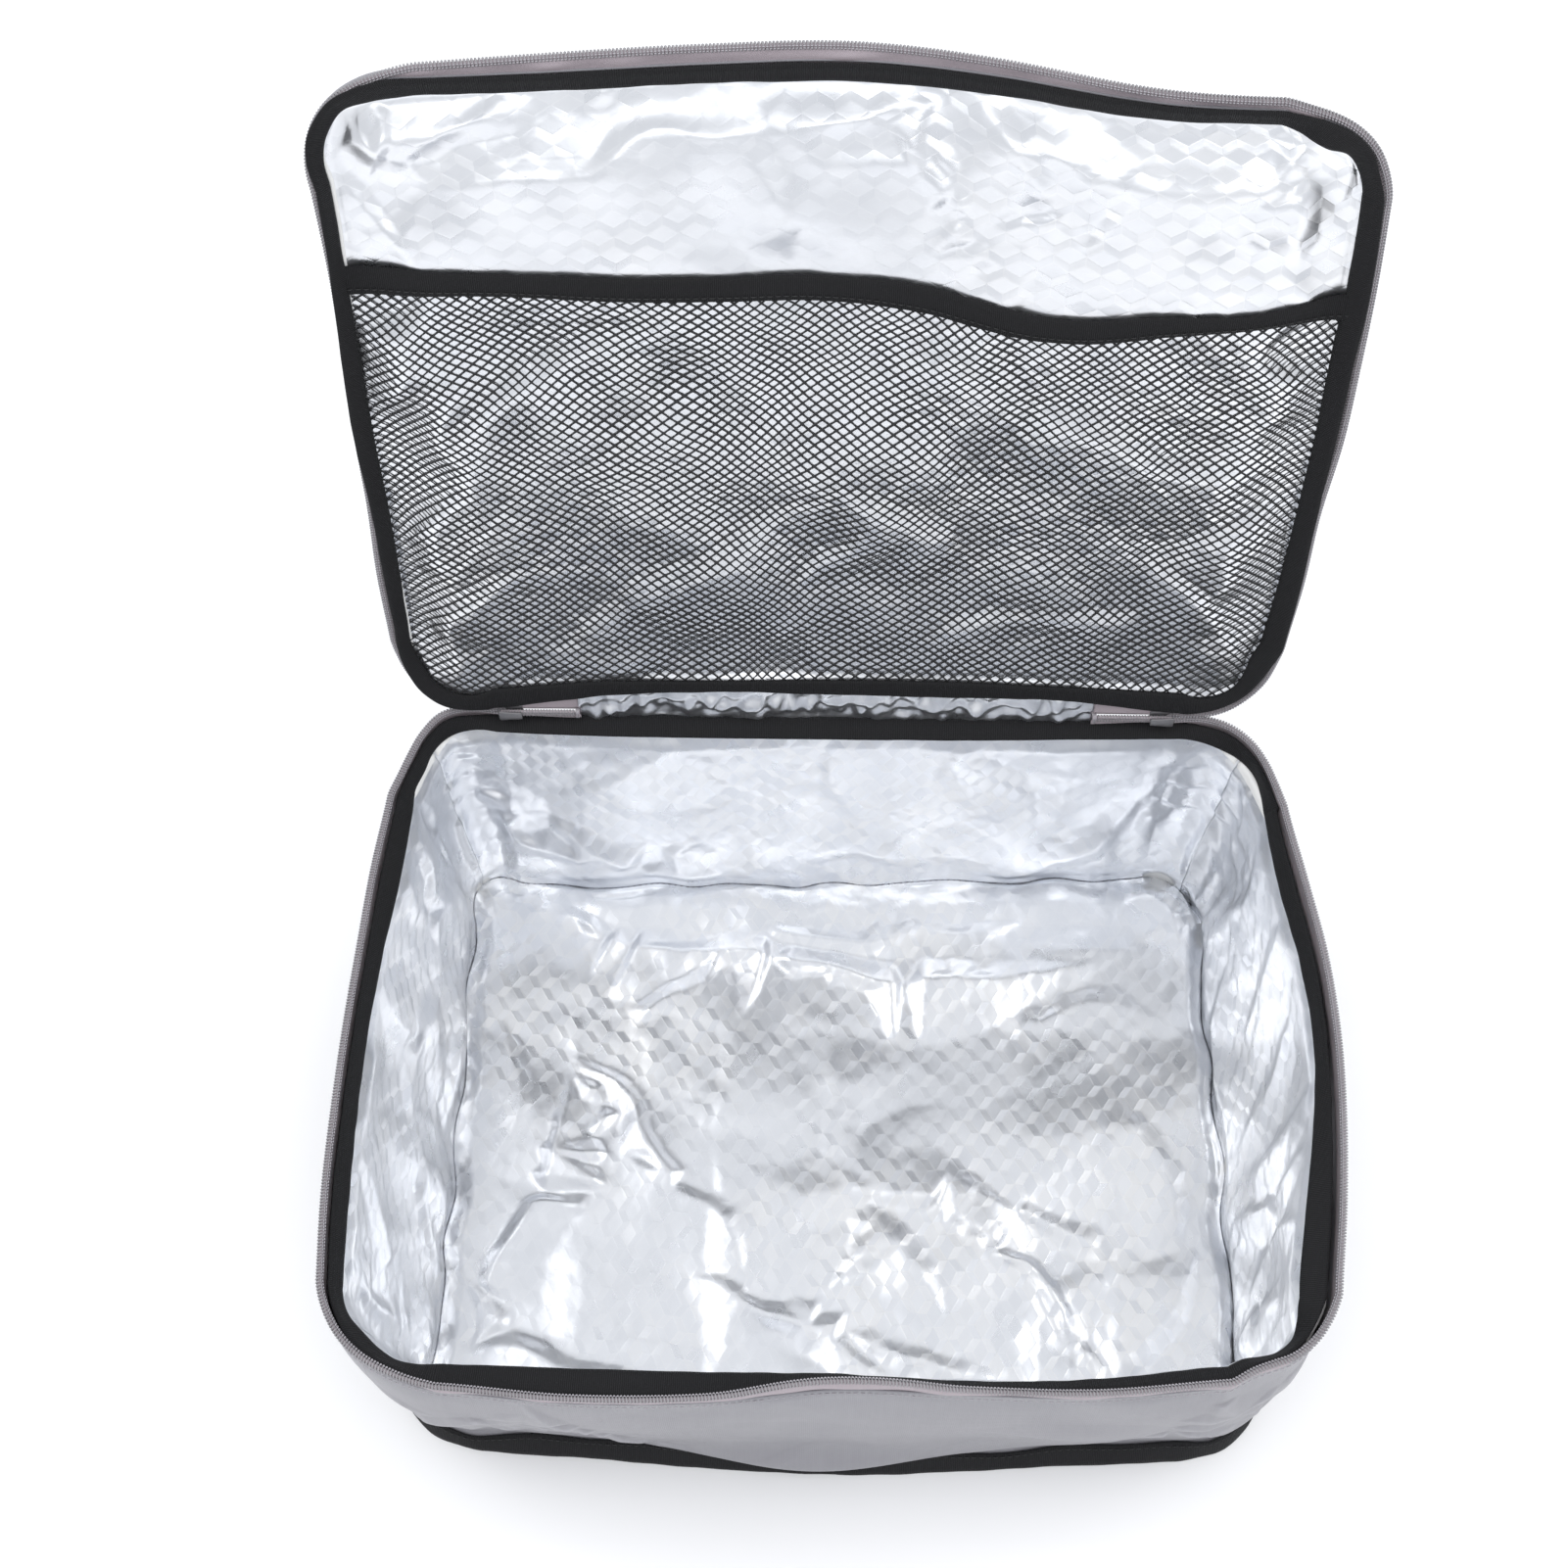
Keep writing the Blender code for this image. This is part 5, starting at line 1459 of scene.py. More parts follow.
def floor_lining():
    n, m = 105, 81
    P = None
    for level in range(3):
        base = patch(CORNER_T, seam_point, n, m)
        flat = base.copy()
        flat[..., 2] = np.minimum(base[..., 2], FLOOR_Z + 2.5)
        up = np.zeros_like(base)
        up[..., 2] = 1.0
        pin = np.zeros((n, m), bool)
        pin[0], pin[-1], pin[:, 0], pin[:, -1] = True, True, True, True
        i, j = np.meshgrid(np.arange(n), np.arange(m), indexing="ij")
        rim = np.minimum(np.minimum(i, n - 1 - i) / (n - 1) * 420, np.minimum(j, m - 1 - j) / (m - 1) * 320)
        base = np.where(pin[..., None], base, flat * smoothstep(0, 25, rim)[..., None] + base * (1 - smoothstep(0, 25, rim))[..., None])
        if level == 0:
            h = 1.6 + 1.3 * noise(base, 125, 61)
            P = base + up * (h * smoothstep(0, 22, rim))[..., None]
        P = np.where(pin[..., None], base, P)
        if level < 2:
            P = relax(P, base, up, np.full((n, m), -0.6), 1.5 + 12.0 * smoothstep(0, 20, rim), pin, 1.0015, (40, 15)[level], bend=0.4, fold=1.3)
            P = finer(P, False)
            n, m = P.shape[:2]
    P = base + 0.55 * (P - base)
    creases = [(path, 0.72 * height, (1.0 if lean >= 0 else -1.0) * width, 3.0 * width) for path, height, width, lean in FLOOR_FOLDS]
    h = crumple(base[..., :2], 322, creases, None, 2.3, 0.6, 0.16) * smoothstep(0, 14, rim) + 0.8 + 3.2 * smoothstep(0, 48, rim)
    z = P[..., 2] - base[..., 2] + h
    P[..., 2] = base[..., 2] + soft_limit(z, -0.6 * smoothstep(0, 10, rim) - 0.01, 0.02 + 15.0 * smoothstep(0, 18, rim), 0.5)
    return np.where(pin[..., None], base, P)


FLOOR_P = floor_lining()
piece = sheet_mesh("floor_foil", FLOOR_P, 0.35, FOIL_FLOOR)
as_piece(piece, "body", "foil", "floor_liner")

# Stitching where the lining's floor meets its walls.
ct = even_t(0, 8, 2.5)[:-1]
line = seam_point(ct)
_, nrm = loop(ct)
up = np.concatenate([-nrm * 0.7, np.full((len(ct), 1), 0.7)], 1)
as_piece(stitch_row("floor_seam_stitches", line + up * 0.5, up, THREAD_GREY, step=3.4, length=2.4, radius=0.2), "body", "foil")

# ------------------------------------------------------------------ foam of the body
for side, middle in SIDES:
    ct = np.linspace(middle - 0.985, middle + 0.985, 60)
    zz = np.linspace(9.0, 146.0, 14)
    T, Z = np.meshgrid(ct, zz, indexing="ij")
    G = ring_point(T, wall_d(T, Z) - 4.9, Z)
    piece = sheet_mesh(side + "_wall_foam", G, 3.6, FOAM)
    as_piece(piece, "body", "foam", side + "_foam")


def inset_ring(t, z=3.8):
    return ring_point(t, foot(t) - 4.5, z)


G = patch(CORNER_T, inset_ring, 40, 30)
piece = sheet_mesh("base_foam_sheet", G, 4.6, FOAM)
as_piece(piece, "body", "foam", "base_foam")


# ------------------------------------------------------------------ the lid
def lid_side_profile(t, k):
    """Meant to give the section of the lid's outer cloth, from the zipper seam over the edge on to its back; it
    returns None and nothing calls it.
    """
    return None


def lid_cover():
    """The lid's outer cloth: a low side, a rounded shoulder and a softly domed face."""
    tt = even_t(0, 8, 3.4)[:-1]
    edge_d = lid_out(tt) - 0.2
    # d inwards and n outwards, in mm, down the side and over the shoulder
    steps = [(0.0, -1.6), (-0.3, -4.5), (-0.7, -8.0), (-1.6, -11.5), (-3.4, -14.3), (-6.2, -16.3), (-9.8, -17.4), (-14.0, -17.9)]
    cols = []
    for k, (dd, nn) in enumerate(steps):
        q = ring_point(tt, edge_d + dd, nn)
        cols.append(q)
    inner = cols[-1]
    rings = 84
    centre = np.array([0.0, 0.0, -20.5])
    for k in range(1, rings + 1):
        f = 1 - k / rings * 0.9985
        q = inner.copy()
        q[:, :2] = inner[:, :2] * f
        q[:, 2] = -17.9 - 3.6 * (1 - f**2)
        cols.append(q)
    return tt, np.stack(cols, 1)


LID_BACK_FOLDS = [  # (x, s)
    ([(-190, 300), (-120, 250), (-60, 240)], 2.2, 7, 0.2),
    ([(-60, 330), (-20, 270), (40, 230)], 2.4, 6, 0.2),
    ([(60, 320), (110, 270), (180, 250)], 2.2, 7, -0.2),
    ([(-180, 60), (-120, 100), (-70, 160)], 2.2, 6, 0.2),
    ([(-10, 60), (40, 110), (60, 170)], 2.0, 7, 0.2),
    ([(180, 50), (130, 110), (110, 180)], 2.4, 6, -0.2),
    ([(-200, 190), (-130, 190), (-60, 170)], 1.8, 8, 0.2),
]
tt, Q = lid_cover()
x, s, n = Q[..., 0], HINGE_Y - Q[..., 1], Q[..., 2]
shape = np.stack([x, s, n], -1)
k_idx = np.arange(Q.shape[1])
soft = smoothstep(0, 6, k_idx)[None, :]
crease = soft * (0.9 * noise(shape * (1, 1, 0.5), 90, 71) + 0.55 * noise(shape, 38, 72) + 0.25 * noise(shape, 16, 73))
folded = soft_limit(crumple(np.stack([x, s], -1), 75, [(path, height, 0.9 * width, 3.0 * width) for path, height, width, _ in LID_BACK_FOLDS], None, 1.3, 0.45, 0.08, 84.0, jitter=0.05), -1.6, 2.4, 0.4)
crease += folded * smoothstep(6, 16, k_idx)[None, :]
crease += -1.1 * np.exp(-(((k_idx - 7.5) / 0.9) ** 2))[None, :]
G = lid_world(x, s, n - crease * 0.8)
UVl = np.concatenate([np.stack([x, s], -1), np.stack([x, s], -1)[:1]], 0)
u_side = lengths(np.concatenate([G, G[:1]], 0), 0).mean(1, keepdims=True)
piece = sheet_mesh("lid_cover_cloth", G, 0.8, CLOTH_LID, wrap=True, UV=UVl)
as_piece(piece, "lid", "cloth", "lid_panel")

# Topstitching round the lid's back face, in the groove behind its shoulder.
line = lid_ring(tt, lid_out(tt) - 13.4, -18.35)
line = G[:, 7] + 0
up = np.cross(np.roll(G[:, 7], -1, 0) - np.roll(G[:, 7], 1, 0), G[:, 8] - G[:, 6])
up /= np.linalg.norm(up, axis=1, keepdims=True)
side_of = (up * np.array([0, CS, -SN])).sum(1).mean()
up = up if side_of > 0 else -up
as_piece(stitch_row("lid_topstitch", line + up * 0.45, up, THREAD_GREY, step=3.4, length=2.5, radius=0.24), "lid", "cloth")

# Rim binding of the lid.
lt = even_t(0, 8, 1.6)[:-1]
lo = lid_ring(lt, lid_out(lt), 0.6)
li = lid_ring(lt, lid_in(lt), lid_in_n(lt))
rim = band_between("lid_rim_band", lo, li, 2.4, 0.35, WEBBING, ripple=0.12, seed=22)
as_piece(rim, "lid", "webbing", "lid_rim_binding")
line, up = across(lo, li, 0.22, 1.35)
as_piece(stitch_row("lid_rim_stitches", line, up, THREAD), "lid", "webbing")

# Zipper of the lid: tape and coil.
t0, t1 = back_t(-HINGE_HALF - 0.8), 8.0 + back_t(HINGE_HALF + 0.8)
ct = even_t(t0, t1, 2.0)
root_d = np.minimum(lid_out(ct) - 2.5, lid_coil(ct) - 3.5)
f = np.linspace(0, 1, 9)
D = root_d[:, None] * (1 - f) + (lid_coil(ct)[:, None] - 1.2) * f
Nn = -3.4 + 1.6 * f**0.7 - 1.6 * smoothstep(-1.5, 1.5, lid_out(ct) - lid_coil(ct))[:, None] * f
Tt = ct[:, None] + 0 * D
Nn = Nn + 0.5 * noise(ring_point(Tt, D, 0 * D), 30, 81) * np.sin(math.pi * f)
G = lid_ring(Tt, D, Nn)
tape = sheet_mesh("lid_zipper_tape_cloth", G, 0.55, TAPE)
as_piece(tape, "lid", "tape", "lid_zipper_tape")

t0, t1 = back_t(-SLIDER_X - 3.0), 8.0 + back_t(SLIDER_X + 3.0)
ct = even_t(t0, t1, 1.5)
n_coil = -1.9 - 1.6 * smoothstep(-1.5, 1.5, lid_out(ct) - lid_coil(ct))
C = lid_ring(ct, lid_coil(ct) - 1.5, n_coil)
C2 = lid_ring(ct, lid_coil(ct) - 0.5, n_coil)
lead = C2 - C
lead /= np.linalg.norm(lead, axis=1, keepdims=True)
T_, A_, B_ = frames_of(C, lead, False)
coil = coil_mesh("lid_coil_teeth", C, A_, B_, False, COIL)
core = coil_core("lid_coil_core", C, A_, B_, False, TAPE)
threads = coil_threads("lid_coil_threads", C, A_, B_, False, THREAD_GREY, 1.5)
piece = join("lid_zipper_teeth", [coil, core, threads])
as_piece(piece, "lid", "coil", "lid_zipper_coil")


# ------------------------------------------------------------------ lining of the lid
def lid_edge(t):
    """Edge of the lid's foil, tucked behind the inner edge of the binding: closed x, y and n."""
    return ring_point(t, lid_in(t) + 1.6, lid_in_n(t) - 2.4)


def net_n(x, s):
    """Height of the net over the lid's plane: it dips under the binding all round."""
    t, d = locate(x, HINGE_Y - s)
    inside = lid_in(t) - d
    edge_n = lid_in_n(t) - 1.5
    P = np.stack([x, s, 0 * x], -1)
    f = smoothstep(-1.0, 34 + 12 * np.clip(noise(P, 55, 107), -1, 1), inside)
    wave = 0.9 * noise(P, 95, 101) + 0.4 * noise(P, 45, 102)
    return edge_n * (1 - f) + (-1.6 + wave) * f


LID_FOLDS = [  # (x, s)
    ([(-49, 346), (-34, 300), (-16, 256)], 3.6, 11, 0.3),
    ([(20, 348), (35, 300), (70, 250)], 3.4, 8, 0.2),
    ([(30, 344), (48, 290), (62, 256)], 2.6, 6, 0.2),
    ([(48, 340), (76, 300), (90, 262)], 3.0, 12, 0.0),
    ([(104, 318), (111, 290), (106, 266)], 2.2, 9, 0.2),
    ([(-211, 334), (-206, 300), (-190, 260)], 3.4, 8, 0.2),
    ([(-200, 336), (-196, 318), (-198, 300)], 2.4, 6, 0.0),
    ([(-152, 342), (-138, 322), (-130, 312)], 2.2, 9, 0.2),
    ([(-102, 346), (-101, 336), (-98, 326)], 1.8, 6, 0.0),
    ([(172, 330), (188, 294), (188, 258)], 3.2, 9, 0.2),
    ([(200, 330), (208, 312), (206, 290)], 2.8, 7, 0.0),
    ([(-204, 50), (-182, 72), (-150, 96)], 3.6, 10, 0.2),
    ([(-150, 24), (-80, 84), (-4, 140)], 3.6, 13, 0.2),
    ([(0, 144), (30, 124), (66, 98)], 3.8, 12, 0.2),
    ([(-190, 160), (-140, 190), (-80, 236)], 3.2, 13, 0.0),
    ([(40, 40), (90, 64), (150, 56)], 3.2, 12, 0.0),
    ([(80, 200), (130, 160), (200, 140)], 3.4, 12, 0.0),
    ([(150, 100), (180, 70), (204, 30)], 3.0, 11, 0.0),
]


def lid_lining():
    n, m = 109, 85
    P = None
    for level in range(3):
        base = patch(CORNER_T, lid_edge, n, m)
        i, j = np.meshgrid(np.arange(n), np.arange(m), indexing="ij")
        rim = np.minimum(np.minimum(i, n - 1 - i) / (n - 1) * 430, np.minimum(j, m - 1 - j) / (m - 1) * 330)
        pin = rim < 1e-6
        s_ = HINGE_Y - base[..., 1]
        cover = net_n(base[..., 0], s_) - 0.35
        free = smoothstep(0, 14, rim)
        base[..., 2] = np.where(pin, base[..., 2], np.minimum(cover, cover - 1.1 * free))
        up = np.zeros_like(base)
        up[..., 2] = 1.0
        if level == 0:
            h = 0.8 * noise(base, 120, 91) + 0.4 * noise(base, 55, 92)
            P = base + up * (h * free)[..., None]
        P = np.where(pin[..., None], base, P)
        high = cover - base[..., 2] + (3.2 + 2.4 * smoothstep(256, 285, s_)) * free
        low = np.maximum(-9.6 - base[..., 2], -4.2) * free - 0.05
        if level < 2:
            P = relax(P, base, up, low, np.maximum(high, low + 0.3), pin, 1.0015, (40, 15)[level], bend=0.4, fold=1.3)
            P = finer(P, False)
            n, m = P.shape[:2]
    xy = np.stack([base[..., 0], s_], -1)
    P = base + 0.35 * (P - base)
    creases = [(path, 0.62 * height, (0.95 if lean >= 0 else -0.95) * width, 2.8 * width) for path, height, width, lean in LID_FOLDS]
    h = crumple(xy, 332, creases, None, 1.2, 0.40, 0.12, 60.0) * smoothstep(0, 16, rim)
    z = P[..., 2] - base[..., 2] + h
    low = np.maximum(-9.6 - base[..., 2], -7.0) * free - 0.05
    P[..., 2] = base[..., 2] + soft_limit(z, low, np.maximum(high + 1.5 * free, low + 1.0), 0.5)
    return np.where(pin[..., None], base, P)


LIDP = lid_lining()
G = lid_world(LIDP[..., 0], HINGE_Y - LIDP[..., 1], LIDP[..., 2])
piece = sheet_mesh("lid_foil", G, 0.35, FOIL_LID, flip=True)
as_piece(piece, "lid", "foil", "lid_liner")

NET_CELL = 2.0


def rest_grid():
    """Height of the lid's foil on a 2 mm grid, eased over its creases: the net lies on it."""
    x, s_, n = LIDP[..., 0].ravel(), (HINGE_Y - LIDP[..., 1]).ravel(), LIDP[..., 2].ravel()
    x0, s0 = x.min(), s_.min()
    i, j = ((x - x0) / NET_CELL).astype(int), ((s_ - s0) / NET_CELL).astype(int)
    H = np.full((i.max() + 1, j.max() + 1), -99.0)
    np.maximum.at(H, (i, j), n)
    for _ in range(12):
        hole = H < -90
        if not hole.any():
            break
        pad = np.pad(H, 1, constant_values=-99.0)
        H = np.where(hole, np.maximum.reduce([pad[2:, 1:-1], pad[:-2, 1:-1], pad[1:-1, 2:], pad[1:-1, :-2]]), H)
    H = np.maximum(H, -9.0)
    return x0, s0, blur(np.maximum(blur(H, 1.8), H - 0.2), 0.8)


REST_X, REST_S, REST_H = rest_grid()


def rest_n(x, s):
    a = np.clip((x - REST_X) / NET_CELL - 0.5, 0, REST_H.shape[0] - 1.001)
    b = np.clip((s - REST_S) / NET_CELL - 0.5, 0, REST_H.shape[1] - 1.001)
    i, j = a.astype(int), b.astype(int)
    f, g = a - i, b - j
    return (REST_H[i, j] * (1 - f) + REST_H[i + 1, j] * f) * (1 - g) + (REST_H[i, j + 1] * (1 - f) + REST_H[i + 1, j + 1] * f) * g


# Foam of the lid.
def lid_inset(t):
    return ring_point(t, lid_out(t) - 11.0, -13.5)


Q = patch(CORNER_T, lid_inset, 44, 34)
G = lid_world(Q[..., 0], HINGE_Y - Q[..., 1], Q[..., 2])
piece = sheet_mesh("lid_foam_pad", G, 3.4, FOAM)
as_piece(piece, "lid", "foam", "lid_foam")
for side, middle in SIDES:
    ct = np.linspace(middle - 0.98, middle + 0.98, 50)
    nn = np.linspace(-7.2, -11.3, 3)
    T, Nn = np.meshgrid(ct, nn, indexing="ij")
    G = lid_ring(T, lid_out(T) - 4.8, Nn)
    piece = sheet_mesh("lid_edge_foam_" + side + "_strip", G, 2.4, FOAM)
    as_piece(piece, "lid", "foam", "lid_edge_foam_" + side)


# ------------------------------------------------------------------ the net pocket
pt = np.array(POCKET_TOP, float)
pl = np.array(POCKET_LOW, float)


def smooth_line(points, x):
    """A smooth curve through the points, from a moving mean of straight pieces."""
    off = np.linspace(-9, 9, 13)
    return np.mean([np.interp(x + o, points[:, 0], points[:, 1]) for o in off], axis=0)


def net_mesh():
    px, ps = 6.2, 4.9
    cols = int(450 / px) + 2
    rows = int(262 / (ps / 2)) + 2
    i = np.arange(-cols // 2, cols // 2 + 1)
    j = np.arange(0, rows)
    I, J = np.meshgrid(i, j, indexing="ij")
    cx = (I + 0.5 * (J % 2)) * px
    cs = 2.0 + J * ps / 2
    # warp of the whole net
    def warp(x, s):
        P = np.stack([x, s, 0 * x], -1)
        return x + 1.5 * noise(P, 110, 103) + 0.5 * noise(P, 40, 104), s + 1.5 * noise(P, 100, 105) + 0.5 * noise(P, 38, 106)

    wx, ws = warp(cx, cs)
    t, d = locate(wx, HINGE_Y - ws)
    keep = (d < lid_in(t) + 2.2) & (ws < smooth_line(pl, wx) + 5.0)
    cx, cs = cx[keep], cs[keep]
    nc = len(cx)
    # outer diamond with middles, and the rounded hole
    hx, hs = px / 2, ps / 2
    outer = np.array([(hx, 0), (hx / 2, hs / 2), (0, hs), (-hx / 2, hs / 2), (-hx, 0), (-hx / 2, -hs / 2), (0, -hs), (hx / 2, -hs / 2)])
    ux, us = hs / math.hypot(hx, hs), hx / math.hypot(hx, hs)
    wire = 0.25
    qx, qs = hx / 2 - wire * ux, hs / 2 - wire * us
    hole = np.array([(2.5, 0), (qx, qs), (0, 1.95), (-qx, qs), (-2.5, 0), (-qx, -qs), (0, -1.95), (qx, -qs)])
    lo = np.stack([cx[:, None] + outer[None, :, 0], cs[:, None] + outer[None, :, 1]], -1)
    ho = np.stack([cx[:, None] + hole[None, :, 0], cs[:, None] + hole[None, :, 1]], -1)
    pts = np.concatenate([lo.reshape(-1, 2), ho.reshape(-1, 2)])
    key = np.round(pts * 50).astype(np.int64)
    _, first, inv = np.unique(key, axis=0, return_index=True, return_inverse=True)
    inv = inv.reshape(-1)
    uniq = pts[first]
    oi = inv[: nc * 8].reshape(nc, 8)
    hi = inv[nc * 8 :].reshape(nc, 8)
    nv = len(uniq)
    x, s = warp(uniq[:, 0], uniq[:, 1])
    n = rest_n(x, s) + 0.55
    thick = 0.35
    front = lid_world(x, s, n + thick / 2)
    back = lid_world(x, s, n - thick / 2)
    V = np.concatenate([front, back])
    k = np.arange(8)
    k2 = (k + 1) % 8
    f1 = np.stack([oi[:, k], oi[:, k2], hi[:, k2], hi[:, k]], -1).reshape(-1, 4)
    f2 = f1[:, ::-1] + nv
    wall = np.stack([hi[:, k], hi[:, k2], hi[:, k2] + nv, hi[:, k] + nv], -1).reshape(-1, 4)
    # outer rim of the net, where an edge belongs to one cell only
    e = np.stack([oi[:, k], oi[:, k2]], -1).reshape(-1, 2)
    es = np.sort(e, 1)
    _, inv_e, cnt = np.unique(es, axis=0, return_inverse=True, return_counts=True)
    lone = e[cnt[inv_e.reshape(-1)] == 1]
    rimf = np.stack([lone[:, 1], lone[:, 0], lone[:, 0] + nv, lone[:, 1] + nv], -1)
    F = np.concatenate([f1, f2, wall, rimf])
    UV = np.concatenate([uniq, uniq])[F.reshape(-1)]
    return make("pocket_net", V, F, UV, NET, True), nc


net, cells = net_mesh()
as_piece(net, "lid", "net", "mesh_pocket")

# The pocket's bound edge.
xs = np.linspace(-216, 217, 260)


def lid_side_limit(sign):
    """x of the inner edge of the lid's binding at the height of the pocket's edge."""
    t = 3.0 if sign < 0 else 7.0
    tt_ = np.linspace(t, t + 1, 400)
    p, nrm = loop(tt_)
    q = p + nrm * lid_in(tt_)[:, None]
    at_s = 252 if sign < 0 else 244
    k = np.argmin(np.abs((HINGE_Y - q[:, 1]) - at_s))
    return q[k, 0]


x_lo, x_hi = lid_side_limit(-1) - 2.5, lid_side_limit(1) + 2.5
xs = np.linspace(x_lo, x_hi, 300)
top_s, low_s = smooth_line(pt, xs), smooth_line(pl, xs)
P = np.stack([xs, top_s, 0 * xs], -1)
ends = np.minimum(smoothstep(x_lo, x_lo + 12, xs), smoothstep(x_hi, x_hi - 12, xs))
even = lambda h: np.convolve(np.pad(h, 8, mode="edge"), np.full(17, 1 / 17), "valid")
n_top = even(rest_n(xs, top_s) + 1.9) * ends - 5.4 * (1 - ends)
n_low = even(rest_n(xs, low_s) + 1.7) * ends - 5.4 * (1 - ends)
top_line = lid_world(xs, top_s, n_top)
low_line = lid_world(xs, low_s, n_low)
pocket_band = band_between("pocket_edge_band", top_line, low_line, 1.9, 0.25, WEBBING, closed=False, ripple=0.1, seed=23)
as_piece(pocket_band, "lid", "webbing", "pocket_binding")
mid = top_line * 0.22 + low_line * 0.78
upv = np.tile(np.array([0, -CS, SN]), (len(xs), 1))
as_piece(stitch_row("pocket_stitches", mid + upv * 1.25, upv, THREAD, closed=False), "lid", "webbing")


# ------------------------------------------------------------------ hinge strip
def hinge_sheet(name, y0, z0, s1, n1, material, thick, amp, seed, out):
    xs = np.linspace(-HINGE_HALF - 1.5, HINGE_HALF + 1.5, 190)
    f = np.linspace(0, 1, 22)
    t = back_t(xs)
    low = np.stack([xs, 0 * xs + y0, 0 * xs + z0], -1)
    s_line = HINGE_Y - (RIM_D / 2 + lid_out(t)) + s1
    high = lid_world(xs, s_line, n1)
    G = low[:, None] * (1 - f)[None, :, None] + high[:, None] * f[None, :, None]
    w = np.sin(math.pi * f) ** 0.7
    d = amp * (0.9 * noise(G * (1, 1, 0.6), 20, seed) + 0.6 * noise(G, 9, seed + 1)) * w[None, :]
    G[..., 1] += out * w[None, :] + d
    G[..., 2] += 0.5 * d
    return sheet_mesh(name, G, thick, material)


lining_strip = hinge_sheet("hinge_foil", 175.9, 152.6, 2.0, 0.2, FOIL_HINGE, 0.35, 1.5, 121, -0.4)
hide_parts("hinge_lining")
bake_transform(lining_strip)
outer_strip = hinge_sheet("hinge_cloth", 177.6, 149.0, 0.0, -3.2, CLOTH, 0.8, 0.5, 131, 2.2)
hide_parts("hinge_fabric")
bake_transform(outer_strip)


# ------------------------------------------------------------------ zipper ends along the back
AXIS_Y, AXIS_Z = HINGE_Y, HINGE_Z


def superloop(half_y, half_z, power=3.2, n=20):
    ang = np.linspace(0, 2 * math.pi, n, endpoint=False)
    c, s_ = np.cos(ang), np.sin(ang)
    r = (np.abs(c) ** power + np.abs(s_) ** power) ** (-1 / power)
    return r * c * half_y, r * s_ * half_z


def lathe_x(name, stations_, material, centre):
    """A solid whose cross-sections across x are rounded boxes: (x, half_y, half_z, y, z)."""
    rows = []
    for x, hy, hz, dy, dz in stations_:
        y, z = superloop(hy, hz)
        rows.append(np.stack([0 * y + centre[0] + x, centre[1] + dy + y, centre[2] + dz + z], -1))
    return sweep(name, np.stack(rows), material, False)


